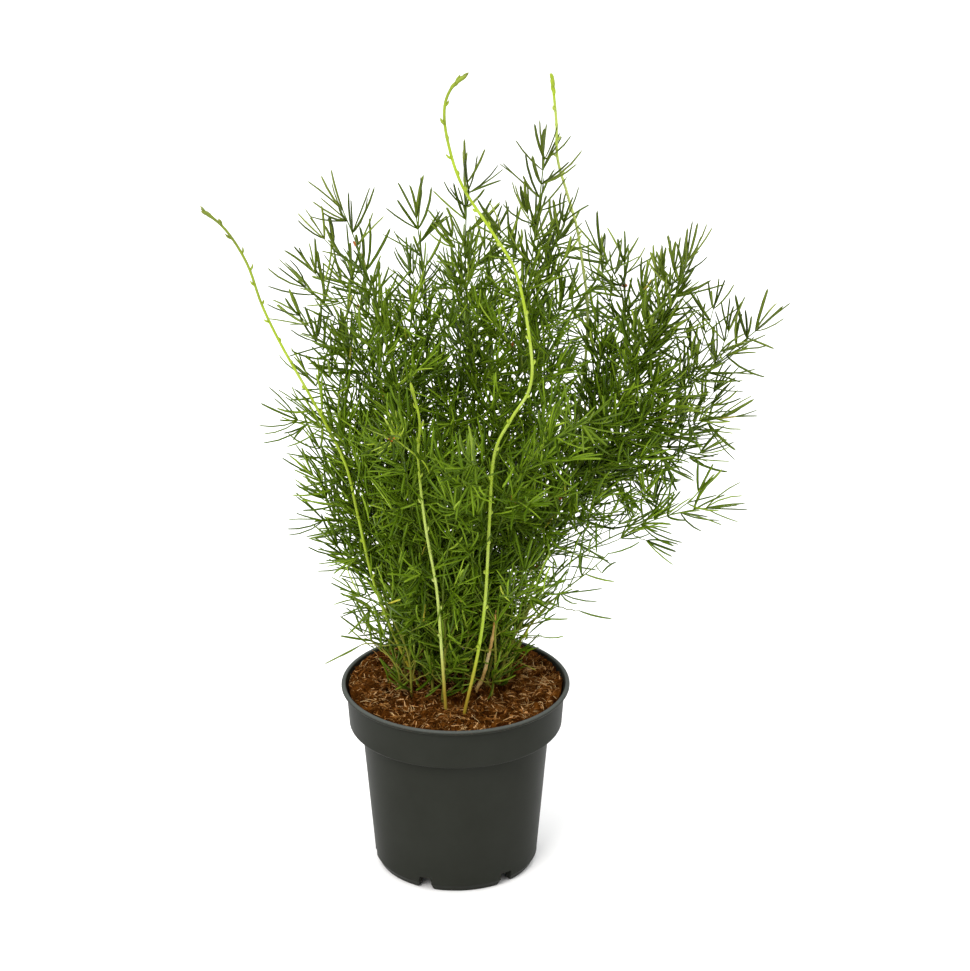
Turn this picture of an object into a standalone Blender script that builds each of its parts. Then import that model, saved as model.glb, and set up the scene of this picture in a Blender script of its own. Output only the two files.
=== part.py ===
"""A foxtail fern (an asparagus fern) growing in a round plastic nursery pot.

The pot is a thin turned shell with a rolled lip, a wide band and six drain slots in its foot. It is filled
with potting mix, whose crumbly top has a plain hole for each stem. Every leafy frond is one body: an arching
stem, its side twigs and the needles that are rooted in them. Bare young shoots and one dry stalk stand
between the fronds. Everything is placed around the pot's axis, and the last step moves it all so that the
origin is at the middle of the ground under the plant's box.
"""

import math
import random
from collections import namedtuple

import bmesh
import bpy
import numpy as np
from mathutils import Matrix, Vector, noise

MM = 0.001

# Driving dimensions of the pot, in millimetres.
POT_RADIUS = 70.0
POT_HEIGHT = 120.0
POT_WALL = 1.2
LIP_HEIGHT = 3.2
LIP_ROUNDING = 1.7
BAND_TOP_RADIUS = 67.0
BAND_FOOT_RADIUS = 65.4
BAND_FOOT_HEIGHT = 93.0
BAND_ROUNDING = 1.3
BODY_TOP_RADIUS = 57.7
BODY_FOOT_RADIUS = 50.5
FOOT_OUTER_RADIUS = 48.2
FOOT_INNER_RADIUS = 45.2
FOOT_CHAMFER_HEIGHT = 4.6
FOOT_ROUNDING = 0.7
FLOOR_UNDERSIDE = 4.0
FLOOR_THICKNESS = 2.2
SLOT_COUNT = 6
SLOT_TURN = math.radians(37.5)
SLOT_HEIGHT = 6.9
SLOT_TOP_WIDTH = 7.0
SLOT_FOOT_WIDTH = 9.6
SLOT_REACH = 14.0
SLOT_MIDDLE = 48.5
TURN_STEPS = 24

# Potting mix, in millimetres.
SOIL_GAP = 0.4
SOIL_LEVEL = 114.5
SOIL_MOUND = 2.2
SOIL_TILT = 1.2
SOIL_RELIEF = 2.6
CRUMB_SIZE = 17.0
CRUMB_ROUGHNESS = 0.9
CRUMB_STEP = 2.1
CRUMB_OCTAVES = 3
SOIL_RINGS = 4
HOLE_DEPTH = 16.0
HOLE_GAP = 0.35
HOLE_SIDES = 5
FOOT_GAP = 1.0
STEM_RISE = 2.0

# Stems, in millimetres. Lean, pull and slack are shares, and shape the arch between a stem's foot and tip.
STEM_STEPS = 9
STEM_BASE_RADIUS = 1.45
STEM_TIP_RADIUS = 0.8
STEM_LEAN = 0.16
STEM_FOOT_PULL = 0.42
STEM_TIP_PULL = 0.33
STEM_WANDER = 3.0
STEM_TRIES = 30

# Twigs, in millimetres and degrees. First and last are shares of the stem's length.
TWIG_SPACING = 11.5
TWIG_BASE_RADIUS = 0.95
TWIG_TIP_RADIUS = 0.8
TWIG_FIRST = 0.13
TWIG_LAST = 0.83
TWIG_ANGLE = 52.0
TWIG_LIFT = 0.14
TWIG_TRIES = 14
TWIG_SHORTEST = 12.0
SOLID_TWIG_STEP = 3
GOLDEN_ANGLE = math.radians(137.5)

# Needles, in millimetres and degrees. A needle's root is on the middle line of what it grows from.
NEEDLE_WIDTH = 1.2
NEEDLE_THICKNESS = 0.7
NEEDLE_LENGTH = 22.0
NEEDLE_ANGLE = 52.0
NEEDLE_TRIES = 10
TIP_NEEDLES = 2
TIP_NEEDLE_PLACE = 0.97
TIP_NEEDLE_ANGLES = (14.0, 30.0)
NEEDLES_ON_STEM = 7
NEEDLE_SPACING = 36.0
NEEDLE_STRETCH = (0.5, 0.94)

# Free space kept between two fronds, and under the lowest twigs and needles, in millimetres.
CLEARANCE = 0.5
LOWEST_NEEDLE = 3.0

# A frond's base and tip are in millimetres from the pot's axis and the ground. Rise is how steeply the tip
# points up, in degrees, past 90 where it leans back in. Side is the length of the frond's longest twigs.
Frond = namedtuple("Frond", "name base tip rise side")
FRONDS = (
    Frond("frond_upper_left", (-12, 3), (-64, -6, 424), 68, 60),
    Frond("frond_left_high", (-22, 12), (-88, 16, 370), 42, 58),
    Frond("frond_left", (-30, 3), (-92, -26, 302), 20, 58),
    Frond("frond_left_low", (-36, 12), (-80, 12, 222), -2, 46),
    Frond("frond_left_foot", (-33, -6), (-58, -22, 154), -20, 26),
    Frond("frond_top_left", (-9, 14), (-22, 24, 410), 80, 62),
    Frond("frond_crown_left", (0, 10), (8, 16, 434), 88, 64),
    Frond("frond_crown", (8, 3), (52, -4, 454), 84, 64),
    Frond("frond_right_high", (14, 12), (86, 20, 388), 128, 60),
    Frond("frond_right_top", (19, 0), (135, -10, 394), 76, 62),
    Frond("frond_far_right", (24, 9), (178, 4, 346), 42, 62),
    Frond("frond_right", (31, 17), (160, 30, 280), 6, 58),
    Frond("frond_right_low", (26, -5), (150, -14, 240), 8, 34),
    Frond("frond_right_foot", (32, 3), (90, -48, 226), 52, 30),
    Frond("frond_front_left", (-14, -7), (-40, -100, 322), 28, 58),
    Frond("frond_front", (-8, -22), (12, -106, 306), 20, 58),
    Frond("frond_front_right", (4, -8), (76, -92, 326), 28, 60),
    Frond("frond_front_low_left", (-27, -13), (-50, -80, 204), -4, 42),
    Frond("frond_front_low_right", (22, -14), (44, -88, 214), -2, 44),
    Frond("frond_back_left", (-17, 25), (-70, 98, 346), 26, 60),
    Frond("frond_back", (2, 24), (10, 116, 352), 24, 60),
    Frond("frond_back_right", (19, 25), (92, 100, 350), 26, 60),
    Frond("frond_back_low_left", (-25, 33), (-46, 98, 222), -6, 44),
    Frond("frond_back_low_right", (25, 36), (62, 100, 232), -4, 46),
)

# A bare shoot starts at the mix and runs through these points, in millimetres. It thins to the tip's radius.
Shoot = namedtuple("Shoot", "name points radius tip_radius")
SHOOTS = (
    Shoot(
        "shoot_left",
        (
            (-22, -6), (-36, -9, 152), (-49, -12, 192), (-58, -14, 238), (-65, -15, 271), (-82, -15, 308),
            (-100, -14, 343), (-111, -13, 368), (-119, -12, 393), (-131, -10, 413), (-145, -8, 425),
        ),
        1.25,
        0.75,
    ),
    Shoot(
        "shoot_front",
        (
            (5, -40), (14, -44, 163), (18, -47, 200), (20, -49, 245), (23, -49, 289), (33, -48, 311),
            (43, -46, 328), (44, -43, 350), (36, -36, 393), (22, -30, 417), (5, -25, 443), (-3, -20, 467),
            (-5, -16, 485), (-1, -14, 497), (8, -12, 505),
        ),
        1.5,
        0.75,
    ),
    Shoot(
        "shoot_back",
        (
            (28, 27), (45, 26, 165), (64, 24, 230), (76, 22, 300), (79, 20, 350), (76, 18, 378),
            (72, 16, 404), (66, 14, 426), (60, 12, 448), (59, 10, 471), (56, 8, 500),
        ),
        1.2,
        0.8,
    ),
    Shoot(
        "shoot_short",
        (
            (-6, -36), (-8, -40, 155), (-11, -45, 202), (-17, -50, 243), (-21, -54, 287), (-20, -55, 312),
            (-25, -57, 336),
        ),
        1.45,
        0.7,
    ),
)
OLD_STALK = Shoot("old_stalk", ((13, -8), (17, -10, 128), (22, -14, 153), (25, -17, 175)), 1.1, 0.9)
SHOOT_EXTRA_STEPS = 3
BUD_SPACING = 36.0
BUD_LENGTH = 4.6
BUD_WIDTH = 1.5
BUD_THICKNESS = 1.3
BUD_ANGLE = 24.0
TIP_BUD_SPACING = 9.0
TIP_BUD_REACH = 26.0
TIP_BUD_SHAPE = (1.25, 0.45)

COLOURS = {
    "pot": ((0.036, 0.041, 0.038), 0.45),
    "soil": ((0.085, 0.040, 0.020), 0.95),
    "frond": ((0.050, 0.140, 0.012), 0.50),
    "shoot": ((0.270, 0.420, 0.050), 0.45),
    "old_stalk": ((0.420, 0.260, 0.110), 0.70),
}


def clear_scene():
    """Removes whatever the opened file holds."""
    for obj in list(bpy.data.objects):
        bpy.data.objects.remove(obj)


def new_collection(name):
    collection = bpy.data.collections.new(name)
    bpy.context.scene.collection.children.link(collection)
    return collection


def material(name):
    """A plain Principled material in the part's own colour."""
    found = bpy.data.materials.get(name)
    if found:
        return found
    colour, roughness = COLOURS[name]
    made = bpy.data.materials.new(name)
    made.use_nodes = True
    shader = made.node_tree.nodes["Principled BSDF"]
    shader.inputs["Base Color"].default_value = (*colour, 1.0)
    shader.inputs["Roughness"].default_value = roughness
    shader.inputs["Metallic"].default_value = 0.0
    return made


def add_object(name, mesh, collection, finish):
    obj = bpy.data.objects.new(name, mesh)
    collection.objects.link(obj)
    mesh.materials.clear()
    mesh.materials.append(material(finish))
    return obj


def evaluated_mesh(obj):
    """A new mesh with the object's modifiers or curve shape worked in."""
    graph = bpy.context.evaluated_depsgraph_get()
    return bpy.data.meshes.new_from_object(obj.evaluated_get(graph))


# Pot

def pot_profile():
    """Half the pot's section, from the top of its floor up the inside, over the lip and down the outside."""
    body_slope = (BODY_TOP_RADIUS - BODY_FOOT_RADIUS) / (BAND_FOOT_HEIGHT - FOOT_CHAMFER_HEIGHT)
    floor_top = FLOOR_UNDERSIDE + FLOOR_THICKNESS
    inner_foot = BODY_FOOT_RADIUS + body_slope * (floor_top - FOOT_CHAMFER_HEIGHT) - POT_WALL
    lip_foot = POT_HEIGHT - LIP_HEIGHT
    return (
        (0.0, floor_top),
        (inner_foot, floor_top),
        (BODY_TOP_RADIUS - POT_WALL, BAND_FOOT_HEIGHT + POT_WALL),
        (BAND_FOOT_RADIUS - POT_WALL, BAND_FOOT_HEIGHT + POT_WALL),
        (BAND_TOP_RADIUS - POT_WALL, POT_HEIGHT - LIP_ROUNDING),
        (BAND_TOP_RADIUS - POT_WALL / 2, POT_HEIGHT - LIP_ROUNDING / 4),
        (POT_RADIUS - LIP_ROUNDING, POT_HEIGHT),
        (POT_RADIUS - LIP_ROUNDING / 4, POT_HEIGHT - LIP_ROUNDING / 2),
        (POT_RADIUS, POT_HEIGHT - LIP_ROUNDING),
        (POT_RADIUS - LIP_ROUNDING / 2, lip_foot),
        (BAND_TOP_RADIUS, lip_foot),
        (BAND_FOOT_RADIUS, BAND_FOOT_HEIGHT + BAND_ROUNDING),
        (BAND_FOOT_RADIUS - BAND_ROUNDING, BAND_FOOT_HEIGHT),
        (BODY_TOP_RADIUS, BAND_FOOT_HEIGHT),
        (BODY_FOOT_RADIUS, FOOT_CHAMFER_HEIGHT),
        (BODY_FOOT_RADIUS - FOOT_ROUNDING, FOOT_CHAMFER_HEIGHT / 2),
        (FOOT_OUTER_RADIUS, 0.0),
        (FOOT_INNER_RADIUS, 0.0),
        (FOOT_INNER_RADIUS - FOOT_ROUNDING, FLOOR_UNDERSIDE),
        (0.0, FLOOR_UNDERSIDE),
    )


def profile_object(name, points, collection, finish):
    """An open line of points in the XZ plane, for a Screw modifier to turn."""
    edges = [(i, i + 1) for i in range(len(points) - 1)]
    mesh = bpy.data.meshes.new(name)
    mesh.from_pydata([(r * MM, 0.0, z * MM) for r, z in points], edges, [])
    return add_object(name, mesh, collection, finish)


def turn(obj):
    """Turns the object's profile once round the pot's axis."""
    screw = obj.modifiers.new("turn", "SCREW")
    screw.steps = screw.render_steps = TURN_STEPS
    screw.use_merge_vertices = True
    screw.merge_threshold = 0.0001
    screw.use_smooth_shade = True


def slot_cutter(index, cutters):
    """A wedge that is wider at the ground, cut through the foot ring and the corner of the floor."""
    bm = bmesh.new()
    bmesh.ops.create_cube(bm, size=1.0)
    for vert in bm.verts:
        low = vert.co.z < 0
        width = SLOT_FOOT_WIDTH if low else SLOT_TOP_WIDTH
        vert.co.x *= width * MM
        vert.co.y = (SLOT_MIDDLE + vert.co.y * SLOT_REACH) * MM
        vert.co.z = (-1.0 if low else SLOT_HEIGHT) * MM
    mesh = bpy.data.meshes.new(f"slot_{index}")
    bm.to_mesh(mesh)
    bm.free()
    cutter = add_object(mesh.name, mesh, cutters, "pot")
    cutter.rotation_euler.z = math.pi + SLOT_TURN + index * math.tau / SLOT_COUNT
    cutter.hide_render = True
    cutter.display_type = "WIRE"


def make_pot(collection):
    cutters = new_collection("slot_cutters")
    for index in range(SLOT_COUNT):
        slot_cutter(index, cutters)
    pot = profile_object("pot", pot_profile(), collection, "pot")
    turn(pot)
    slots = pot.modifiers.new("drain slots", "BOOLEAN")
    slots.operation = "DIFFERENCE"
    slots.solver = "EXACT"
    slots.operand_type = "COLLECTION"
    slots.collection = cutters
    return pot


# Potting mix

def soil_height(x, y):
    """The height of the mix at a place, in millimetres: a low mound, broken into crumbs."""
    reach = math.hypot(x, y) / BAND_TOP_RADIUS
    mound = SOIL_MOUND * (1.0 - reach * reach) + SOIL_TILT * y / BAND_TOP_RADIUS
    crumbs = noise.fractal(Vector((x, y, 0.0)) / CRUMB_SIZE, CRUMB_ROUGHNESS, CRUMB_STEP, CRUMB_OCTAVES)
    return SOIL_LEVEL + mound + SOIL_RELIEF * crumbs


def soil_profile():
    """Half the section of the mix, from the middle of its top out to the wall and down to the floor."""
    pot = pot_profile()
    (_, floor), (floor_r, _), (shelf_r, shelf_z), (band_r, _), (top_r, top_z) = pot[:5]
    edge = band_r + (top_r - band_r) * (SOIL_LEVEL - shelf_z) / (top_z - shelf_z) - SOIL_GAP
    rings = [(edge * i / SOIL_RINGS, SOIL_LEVEL) for i in range(SOIL_RINGS + 1)]
    return (
        *rings,
        (band_r - SOIL_GAP, shelf_z + SOIL_GAP),
        (shelf_r - SOIL_GAP, shelf_z + SOIL_GAP),
        (floor_r - SOIL_GAP, floor + SOIL_GAP),
        (0.0, floor + SOIL_GAP),
    )


def make_soil(collection, stems):
    """The filling, with a hole for the foot of each stem."""
    soil = profile_object("soil", soil_profile(), collection, "soil")
    turn(soil)
    mesh = evaluated_mesh(soil)
    soil.modifiers.clear()
    soil.data = mesh
    for vert in mesh.vertices:
        x, y = vert.co.x / MM, vert.co.y / MM
        if math.isclose(vert.co.z / MM, SOIL_LEVEL, abs_tol=0.01):
            vert.co.z = soil_height(x, y) * MM
    cutters = new_collection("stem_holes")
    for index, (x, y, radius) in enumerate(stems):
        hole = (radius + HOLE_GAP) / math.cos(math.pi / HOLE_SIDES)
        bm = bmesh.new()
        bmesh.ops.create_cone(
            bm,
            cap_ends=True,
            segments=HOLE_SIDES,
            radius1=hole * MM,
            radius2=hole * MM,
            depth=2.0 * HOLE_DEPTH * MM,
        )
        hole_mesh = bpy.data.meshes.new(f"stem_hole_{index}")
        bm.to_mesh(hole_mesh)
        bm.free()
        cutter = add_object(hole_mesh.name, hole_mesh, cutters, "soil")
        cutter.location = (x * MM, y * MM, soil_height(x, y) * MM)
        cutter.hide_render = True
        cutter.display_type = "WIRE"
    holes = soil.modifiers.new("stem holes", "BOOLEAN")
    holes.operation = "DIFFERENCE"
    holes.solver = "EXACT"
    holes.operand_type = "COLLECTION"
    holes.collection = cutters
    return soil


# Lines that stems and twigs follow, as arrays of points in millimetres

def bezier(a, b, c, d, steps):
    t = np.linspace(0.0, 1.0, steps + 1)[:, None]
    return a * (1 - t) ** 3 + 3 * b * t * (1 - t) ** 2 + 3 * c * t * t * (1 - t) + d * t**3


def through(points, steps):
    """A smooth line (Catmull-Rom) through the points, with this many steps between two of them."""
    p = np.array(points, float)
    p = np.vstack((2 * p[0] - p[1], p, 2 * p[-1] - p[-2]))
    line = []
    for a, b, c, d in zip(p, p[1:], p[2:], p[3:]):
        for t in np.linspace(0.0, 1.0, steps, endpoint=False):
            line.append(0.5 * (2 * b + (c - a) * t + (2 * a - 5 * b + 4 * c - d) * t * t + (3 * b - a - 3 * c + d) * t**3))
    line.append(p[-2])
    return np.array(line)


def lengths(line):
    """The distance from the line's start to each of its points."""
    return np.concatenate(([0.0], np.cumsum(np.linalg.norm(np.diff(line, axis=0), axis=1))))


def along(line, share):
    """The point at this share of the line's length, and the line's direction there."""
    runs = lengths(line)
    where = share * runs[-1]
    point = np.array([np.interp(where, runs, line[:, k]) for k in range(3)])
    step = min(max(int(np.searchsorted(runs, where)), 1), len(line) - 1)
    direction = line[step] - line[step - 1]
    return point, direction / np.linalg.norm(direction)


def thinned(line, steps):
    """The same line with fewer points, evenly spaced."""
    return np.array([along(line, share)[0] for share in np.linspace(0.0, 1.0, steps + 1)])


def across(direction, turn_by):
    """A unit vector square to the direction, turned round it from the upward side."""
    up = np.array((0.0, 0.0, 1.0)) if abs(direction[2]) < 0.95 else np.array((0.0, 1.0, 0.0))
    side = np.cross(direction, up)
    side /= np.linalg.norm(side)
    upper = np.cross(side, direction)
    return upper * math.cos(turn_by) + side * math.sin(turn_by)


def rooted(line, x, y):
    """The line with a straight foot under it, down in its hole in the mix."""
    return np.vstack(([x, y, soil_height(x, y) - HOLE_DEPTH + FOOT_GAP], line))


# Room between the solids

class Room:
    """The round lengths that are already placed, to keep new ones clear of them."""

    def __init__(self):
        self.starts = np.empty((0, 3))
        self.ends = np.empty((0, 3))
        self.radii = np.empty(0)
        self.owners = np.empty(0, int)

    def add(self, line, radius, owner):
        count = len(line) - 1
        self.starts = np.vstack((self.starts, line[:-1]))
        self.ends = np.vstack((self.ends, line[1:]))
        self.radii = np.concatenate((self.radii, np.full(count, radius)))
        self.owners = np.concatenate((self.owners, np.full(count, owner)))

    def free(self, line, radius, skip):
        """Whether a length along the line stays clear of the pot and of all but the skipped owner's."""
        if dips(line):
            return False
        other = self.owners != skip
        if not other.any():
            return True
        a, b, radii = self.starts[other], self.ends[other], self.radii[other]
        return all(
            (segment_gaps(p, q, a, b) - radii - radius).min() > CLEARANCE
            for p, q in zip(line[:-1], line[1:])
        )


def dips(line):
    """Whether a twig or needle comes down to the mix or to the pot's lip."""
    low = line[-1, 2] < POT_HEIGHT + LOWEST_NEEDLE
    return low and np.hypot(*line[-1, :2]) < POT_RADIUS + LOWEST_NEEDLE


def segment_gaps(p, q, a, b):
    """The least distance from segment pq to each of the segments ab."""
    d1, d2, r = q - p, b - a, p - a
    e1, e2 = d1 @ d1, np.maximum((d2 * d2).sum(1), 1e-9)
    f, c, g = (d2 * r).sum(1), r @ d1, d2 @ d1
    down = e1 * e2 - g * g
    s = np.clip(np.where(down > 1e-9, (g * f - c * e2) / np.maximum(down, 1e-9), 0.0), 0.0, 1.0)
    t = np.clip((g * s + f) / e2, 0.0, 1.0)
    s = np.clip((g * t - c) / e1, 0.0, 1.0)
    return np.linalg.norm((p + s[:, None] * d1) - (a + t[:, None] * d2), axis=1)


# How a frond grows

def stem_line(frond, wander, rng):
    """The arching line of a frond's stem: straight up out of the mix, then over towards its tip."""
    x, y = frond.base
    start = np.array((x, y, soil_height(x, y) + STEM_RISE))
    tip = np.array(frond.tip, float)
    reach = np.linalg.norm(tip - start)
    outward = tip[:2] - start[:2]
    outward /= max(np.linalg.norm(outward), 1e-6)
    rise = math.radians(frond.rise)
    heading = np.array((*(outward * math.cos(rise)), math.sin(rise)))
    lean = np.array((*(outward * STEM_LEAN), 1.0))
    lower = start + lean * reach * STEM_FOOT_PULL
    upper = tip - heading * reach * STEM_TIP_PULL
    line = bezier(start, lower, upper, tip, STEM_STEPS)
    share = np.linspace(0.0, 1.0, len(line))
    sideways = np.array((-outward[1], outward[0], 0.0))
    waves = np.sin(share * math.tau * rng.uniform(1.1, 1.7) + rng.uniform(0, math.tau))
    return line + sideways * (wander * waves * np.sin(share * math.pi))[:, None]


def grow_stem(frond, owner, room, rng):
    """The frond's stem, which wanders further from its arch until it passes clear of the others."""
    for attempt in range(STEM_TRIES):
        line = stem_line(frond, STEM_WANDER * (1.0 + 0.25 * attempt), rng)
        if room.free(line, STEM_BASE_RADIUS, owner):
            room.add(line, STEM_BASE_RADIUS, owner)
            return line
    raise ValueError(f"no clear way for {frond.name}")


def twig_length(frond, share):
    """Twigs are longest a third of the way up the leafy stretch and shrink towards the tip."""
    up = (share - TWIG_FIRST) / (TWIG_LAST - TWIG_FIRST)
    return frond.side * min(0.55 + 1.5 * up, 1.08 - 0.72 * up)


def twig_line(stem, share, turn_by, length, angle):
    """A twig that leaves the stem at an angle and lifts towards the light."""
    start, ahead = along(stem, share)
    lean = math.radians(angle)
    heading = ahead * math.cos(lean) + across(ahead, turn_by) * math.sin(lean)
    heading[2] += TWIG_LIFT
    return np.array((start, start + heading * length / np.linalg.norm(heading)))


def grow_twigs(frond, stem, owner, room, rng):
    """Every twig of the frond, each turned round the stem until it is clear of what grew before it."""
    leafy = (TWIG_LAST - TWIG_FIRST) * lengths(stem)[-1]
    count = int(leafy / TWIG_SPACING)
    twigs = []
    for i in range(count):
        share = TWIG_FIRST + (TWIG_LAST - TWIG_FIRST) * (i + 0.5) / count
        length = twig_length(frond, share) * rng.uniform(0.8, 1.12)
        turn_by = i * GOLDEN_ANGLE + rng.uniform(-0.3, 0.3)
        angle = TWIG_ANGLE + rng.uniform(-8.0, 8.0)
        for attempt in range(TWIG_TRIES):
            aside = 0.35 * ((attempt + 1) // 2) * (-1) ** attempt
            line = twig_line(stem, share, turn_by + aside, length, angle)
            if length > TWIG_SHORTEST and room.free(line, TWIG_BASE_RADIUS, owner):
                room.add(line, TWIG_BASE_RADIUS, owner)
                twigs.append(line)
                break
            length *= 0.94
    return twigs


def grow_needle(line, share, turn_by, angle, length):
    """A needle's root and tip."""
    root, ahead = along(line, share)
    lean = math.radians(angle)
    heading = ahead * math.cos(lean) + across(ahead, turn_by) * math.sin(lean)
    return np.array((root, root + heading * length))


def needle_places(count):
    """Where needles stand on a twig: shares of its length, and whether each is one of the tip's bunch."""
    spread = np.linspace(*NEEDLE_STRETCH, count) if count > 1 else NEEDLE_STRETCH[:1]
    return [(share, False) for share in spread] + [(TIP_NEEDLE_PLACE, True)] * TIP_NEEDLES


def grow_needles(line, count, owner, room, rng):
    """Needles all round a twig or stem, kept where they are clear of the rest of the plant."""
    needles = []
    phase = rng.uniform(0, math.tau)
    for i, (share, at_tip) in enumerate(needle_places(count)):
        length = NEEDLE_LENGTH * rng.uniform(0.8, 1.15)
        lean = rng.uniform(*TIP_NEEDLE_ANGLES) if at_tip else NEEDLE_ANGLE + rng.uniform(-10.0, 10.0)
        gap = math.tau / TIP_NEEDLES if at_tip else GOLDEN_ANGLE
        for attempt in range(NEEDLE_TRIES):
            aside = 0.5 * ((attempt + 1) // 2) * (-1) ** attempt
            needle = grow_needle(line, share, phase + i * gap + aside, lean, length)
            if room.free(needle, NEEDLE_WIDTH / 2, owner):
                room.add(needle, NEEDLE_WIDTH / 2, owner)
                needles.append(needle)
                break
    return needles


# Solids along those lines

def tube_mesh(name, line, radii, resolution):
    """A closed tube along the line, as a mesh whose caps are welded on."""
    curve = bpy.data.curves.new(name, "CURVE")
    curve.dimensions = "3D"
    curve.bevel_depth = MM
    curve.bevel_resolution = resolution
    curve.use_fill_caps = True
    spline = curve.splines.new("POLY")
    spline.points.add(len(line) - 1)
    for point, place, radius in zip(spline.points, line, radii):
        point.co = (*(place * MM), 1.0)
        point.radius = radius
    obj = bpy.data.objects.new(name, curve)
    bpy.context.scene.collection.objects.link(obj)
    mesh = evaluated_mesh(obj)
    bpy.data.objects.remove(obj)
    bm = bmesh.new()
    bm.from_mesh(mesh)
    bmesh.ops.remove_doubles(bm, verts=bm.verts, dist=0.00001)
    bm.to_mesh(mesh)
    bm.free()
    return mesh


def needle_pattern():
    """One three-sided needle, a unit long up the Z axis and a unit wide and deep at its root."""
    bm = bmesh.new()
    bmesh.ops.create_cone(bm, cap_ends=True, segments=3, radius1=1.0, radius2=0.0, depth=1.0)
    bmesh.ops.translate(bm, verts=bm.verts, vec=(0.0, 0.0, 0.5))
    bmesh.ops.scale(bm, verts=bm.verts, vec=(1 / math.sqrt(3.0), 1 / 1.5, 1.0))
    mesh = bpy.data.meshes.new("needle_pattern")
    bm.to_mesh(mesh)
    bm.free()
    return mesh


def needle_mesh(pattern, needle, width=NEEDLE_WIDTH, thickness=NEEDLE_THICKNESS):
    """The pattern stretched and laid from the needle's root to its tip."""
    root, tip = needle
    heading = tip - root
    ahead = heading / np.linalg.norm(heading)
    side = across(ahead, math.pi / 2)
    place = np.identity(4)
    place[:3] = np.column_stack((side * width, np.cross(ahead, side) * thickness, heading, root)) * MM
    mesh = pattern.copy()
    mesh.transform(Matrix(place))
    return mesh


def fused(name, base_mesh, parts, collection, finish):
    """One body from a stem and everything that is rooted in it."""
    obj = add_object(name, base_mesh, collection, finish)
    joined = new_collection(f"{name}_parts")
    for index, mesh in enumerate(parts):
        part = bpy.data.objects.new(f"{name}_part_{index}", mesh)
        joined.objects.link(part)
    union = obj.modifiers.new("join", "BOOLEAN")
    union.operation = "UNION"
    union.solver = "MANIFOLD"
    union.operand_type = "COLLECTION"
    union.collection = joined
    mesh = evaluated_mesh(obj)
    obj.modifiers.clear()
    obj.data = mesh
    for part in joined.objects[:]:
        bpy.data.objects.remove(part)
    bpy.data.collections.remove(joined)
    mesh.name = name
    mesh.materials.clear()
    mesh.materials.append(material(finish))
    mesh.shade_smooth()
    mesh.set_sharp_from_angle(angle=math.radians(40))
    return obj


def make_frond(frond, stem, twigs, owner, room, rng, pattern, collection):
    """A stem with some of its twigs, and needles on both."""
    solid_twigs = twigs[::SOLID_TWIG_STEP]
    parts = [tube_mesh("twig", line, (TWIG_BASE_RADIUS, TWIG_TIP_RADIUS), 0) for line in solid_twigs]
    counts = [NEEDLES_ON_STEM] + [max(1, round(lengths(line)[-1] / NEEDLE_SPACING)) for line in solid_twigs]
    for line, count in zip((stem, *solid_twigs), counts):
        for needle in grow_needles(line, count, owner, room, rng):
            parts.append(needle_mesh(pattern, needle))
    radii = (STEM_BASE_RADIUS, *np.linspace(STEM_BASE_RADIUS, STEM_TIP_RADIUS, STEM_STEPS + 1))
    body = tube_mesh(frond.name, rooted(stem, *frond.base), radii, 0)
    return fused(frond.name, body, parts, collection, "frond")


# Bare shoots

def shoot_buds(line, rng):
    """Small pointed scales up a shoot, close together at its tip."""
    total = lengths(line)[-1]
    where, buds = BUD_SPACING, []
    while where < total - BUD_WIDTH:
        size = BUD_LENGTH * rng.uniform(0.85, 1.15)
        buds.append(grow_needle(line, where / total, len(buds) * GOLDEN_ANGLE, BUD_ANGLE, size))
        where += TIP_BUD_SPACING if total - where < TIP_BUD_REACH else BUD_SPACING
    return buds


def shoot_radii(line, shoot):
    """Thins from the foot, swells a little at the bud and closes at the very tip."""
    share = lengths(line) / lengths(line)[-1]
    radii = shoot.radius + (shoot.tip_radius - shoot.radius) * share
    radii[-2:] *= TIP_BUD_SHAPE
    return radii


def make_shoot(shoot, line, rng, pattern, collection):
    body_line = rooted(line, *shoot.points[0])
    radii = shoot_radii(body_line, shoot)
    parts = [needle_mesh(pattern, bud, BUD_WIDTH, BUD_THICKNESS) for bud in shoot_buds(line, rng)]
    body = tube_mesh(shoot.name, body_line, radii, 1)
    return fused(shoot.name, body, parts, collection, "shoot")


def make_old_stalk(line, collection):
    body_line = rooted(line, *OLD_STALK.points[0])
    radii = np.linspace(OLD_STALK.radius, OLD_STALK.tip_radius, len(body_line))
    mesh = tube_mesh(OLD_STALK.name, body_line, radii, 1)
    return add_object(OLD_STALK.name, mesh, collection, "old_stalk")


def plant_lines(room):
    """The lines of all stems, shoots and twigs, in the order in which they claim their room."""
    shoots = {}
    for index, shoot in enumerate((*SHOOTS, OLD_STALK)):
        (x, y), *upper = shoot.points
        points = ((x, y, soil_height(x, y) + STEM_RISE), *upper)
        line = thinned(through(points, 4), len(points) + SHOOT_EXTRA_STEPS)
        shoots[shoot.name] = line
        room.add(line, shoot.radius, 1000 + index)
    stems = {}
    for index, frond in enumerate(FRONDS):
        stems[frond.name] = grow_stem(frond, index, room, random.Random(100 + index))
    twigs = {}
    for index, frond in enumerate(FRONDS):
        rng = random.Random(200 + index)
        twigs[frond.name] = grow_twigs(frond, stems[frond.name], index, room, rng)
    return shoots, stems, twigs


def solid_room(shoots, stems, twigs):
    """The room that the solids' own stems and twigs take, without the twigs that are too fine for them."""
    room = Room()
    for index, shoot in enumerate((*SHOOTS, OLD_STALK)):
        room.add(shoots[shoot.name], shoot.radius, 1000 + index)
    for index, frond in enumerate(FRONDS):
        room.add(stems[frond.name], STEM_BASE_RADIUS, index)
        for line in twigs[frond.name][::SOLID_TWIG_STEP]:
            room.add(line, TWIG_BASE_RADIUS, index)
    return room


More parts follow.
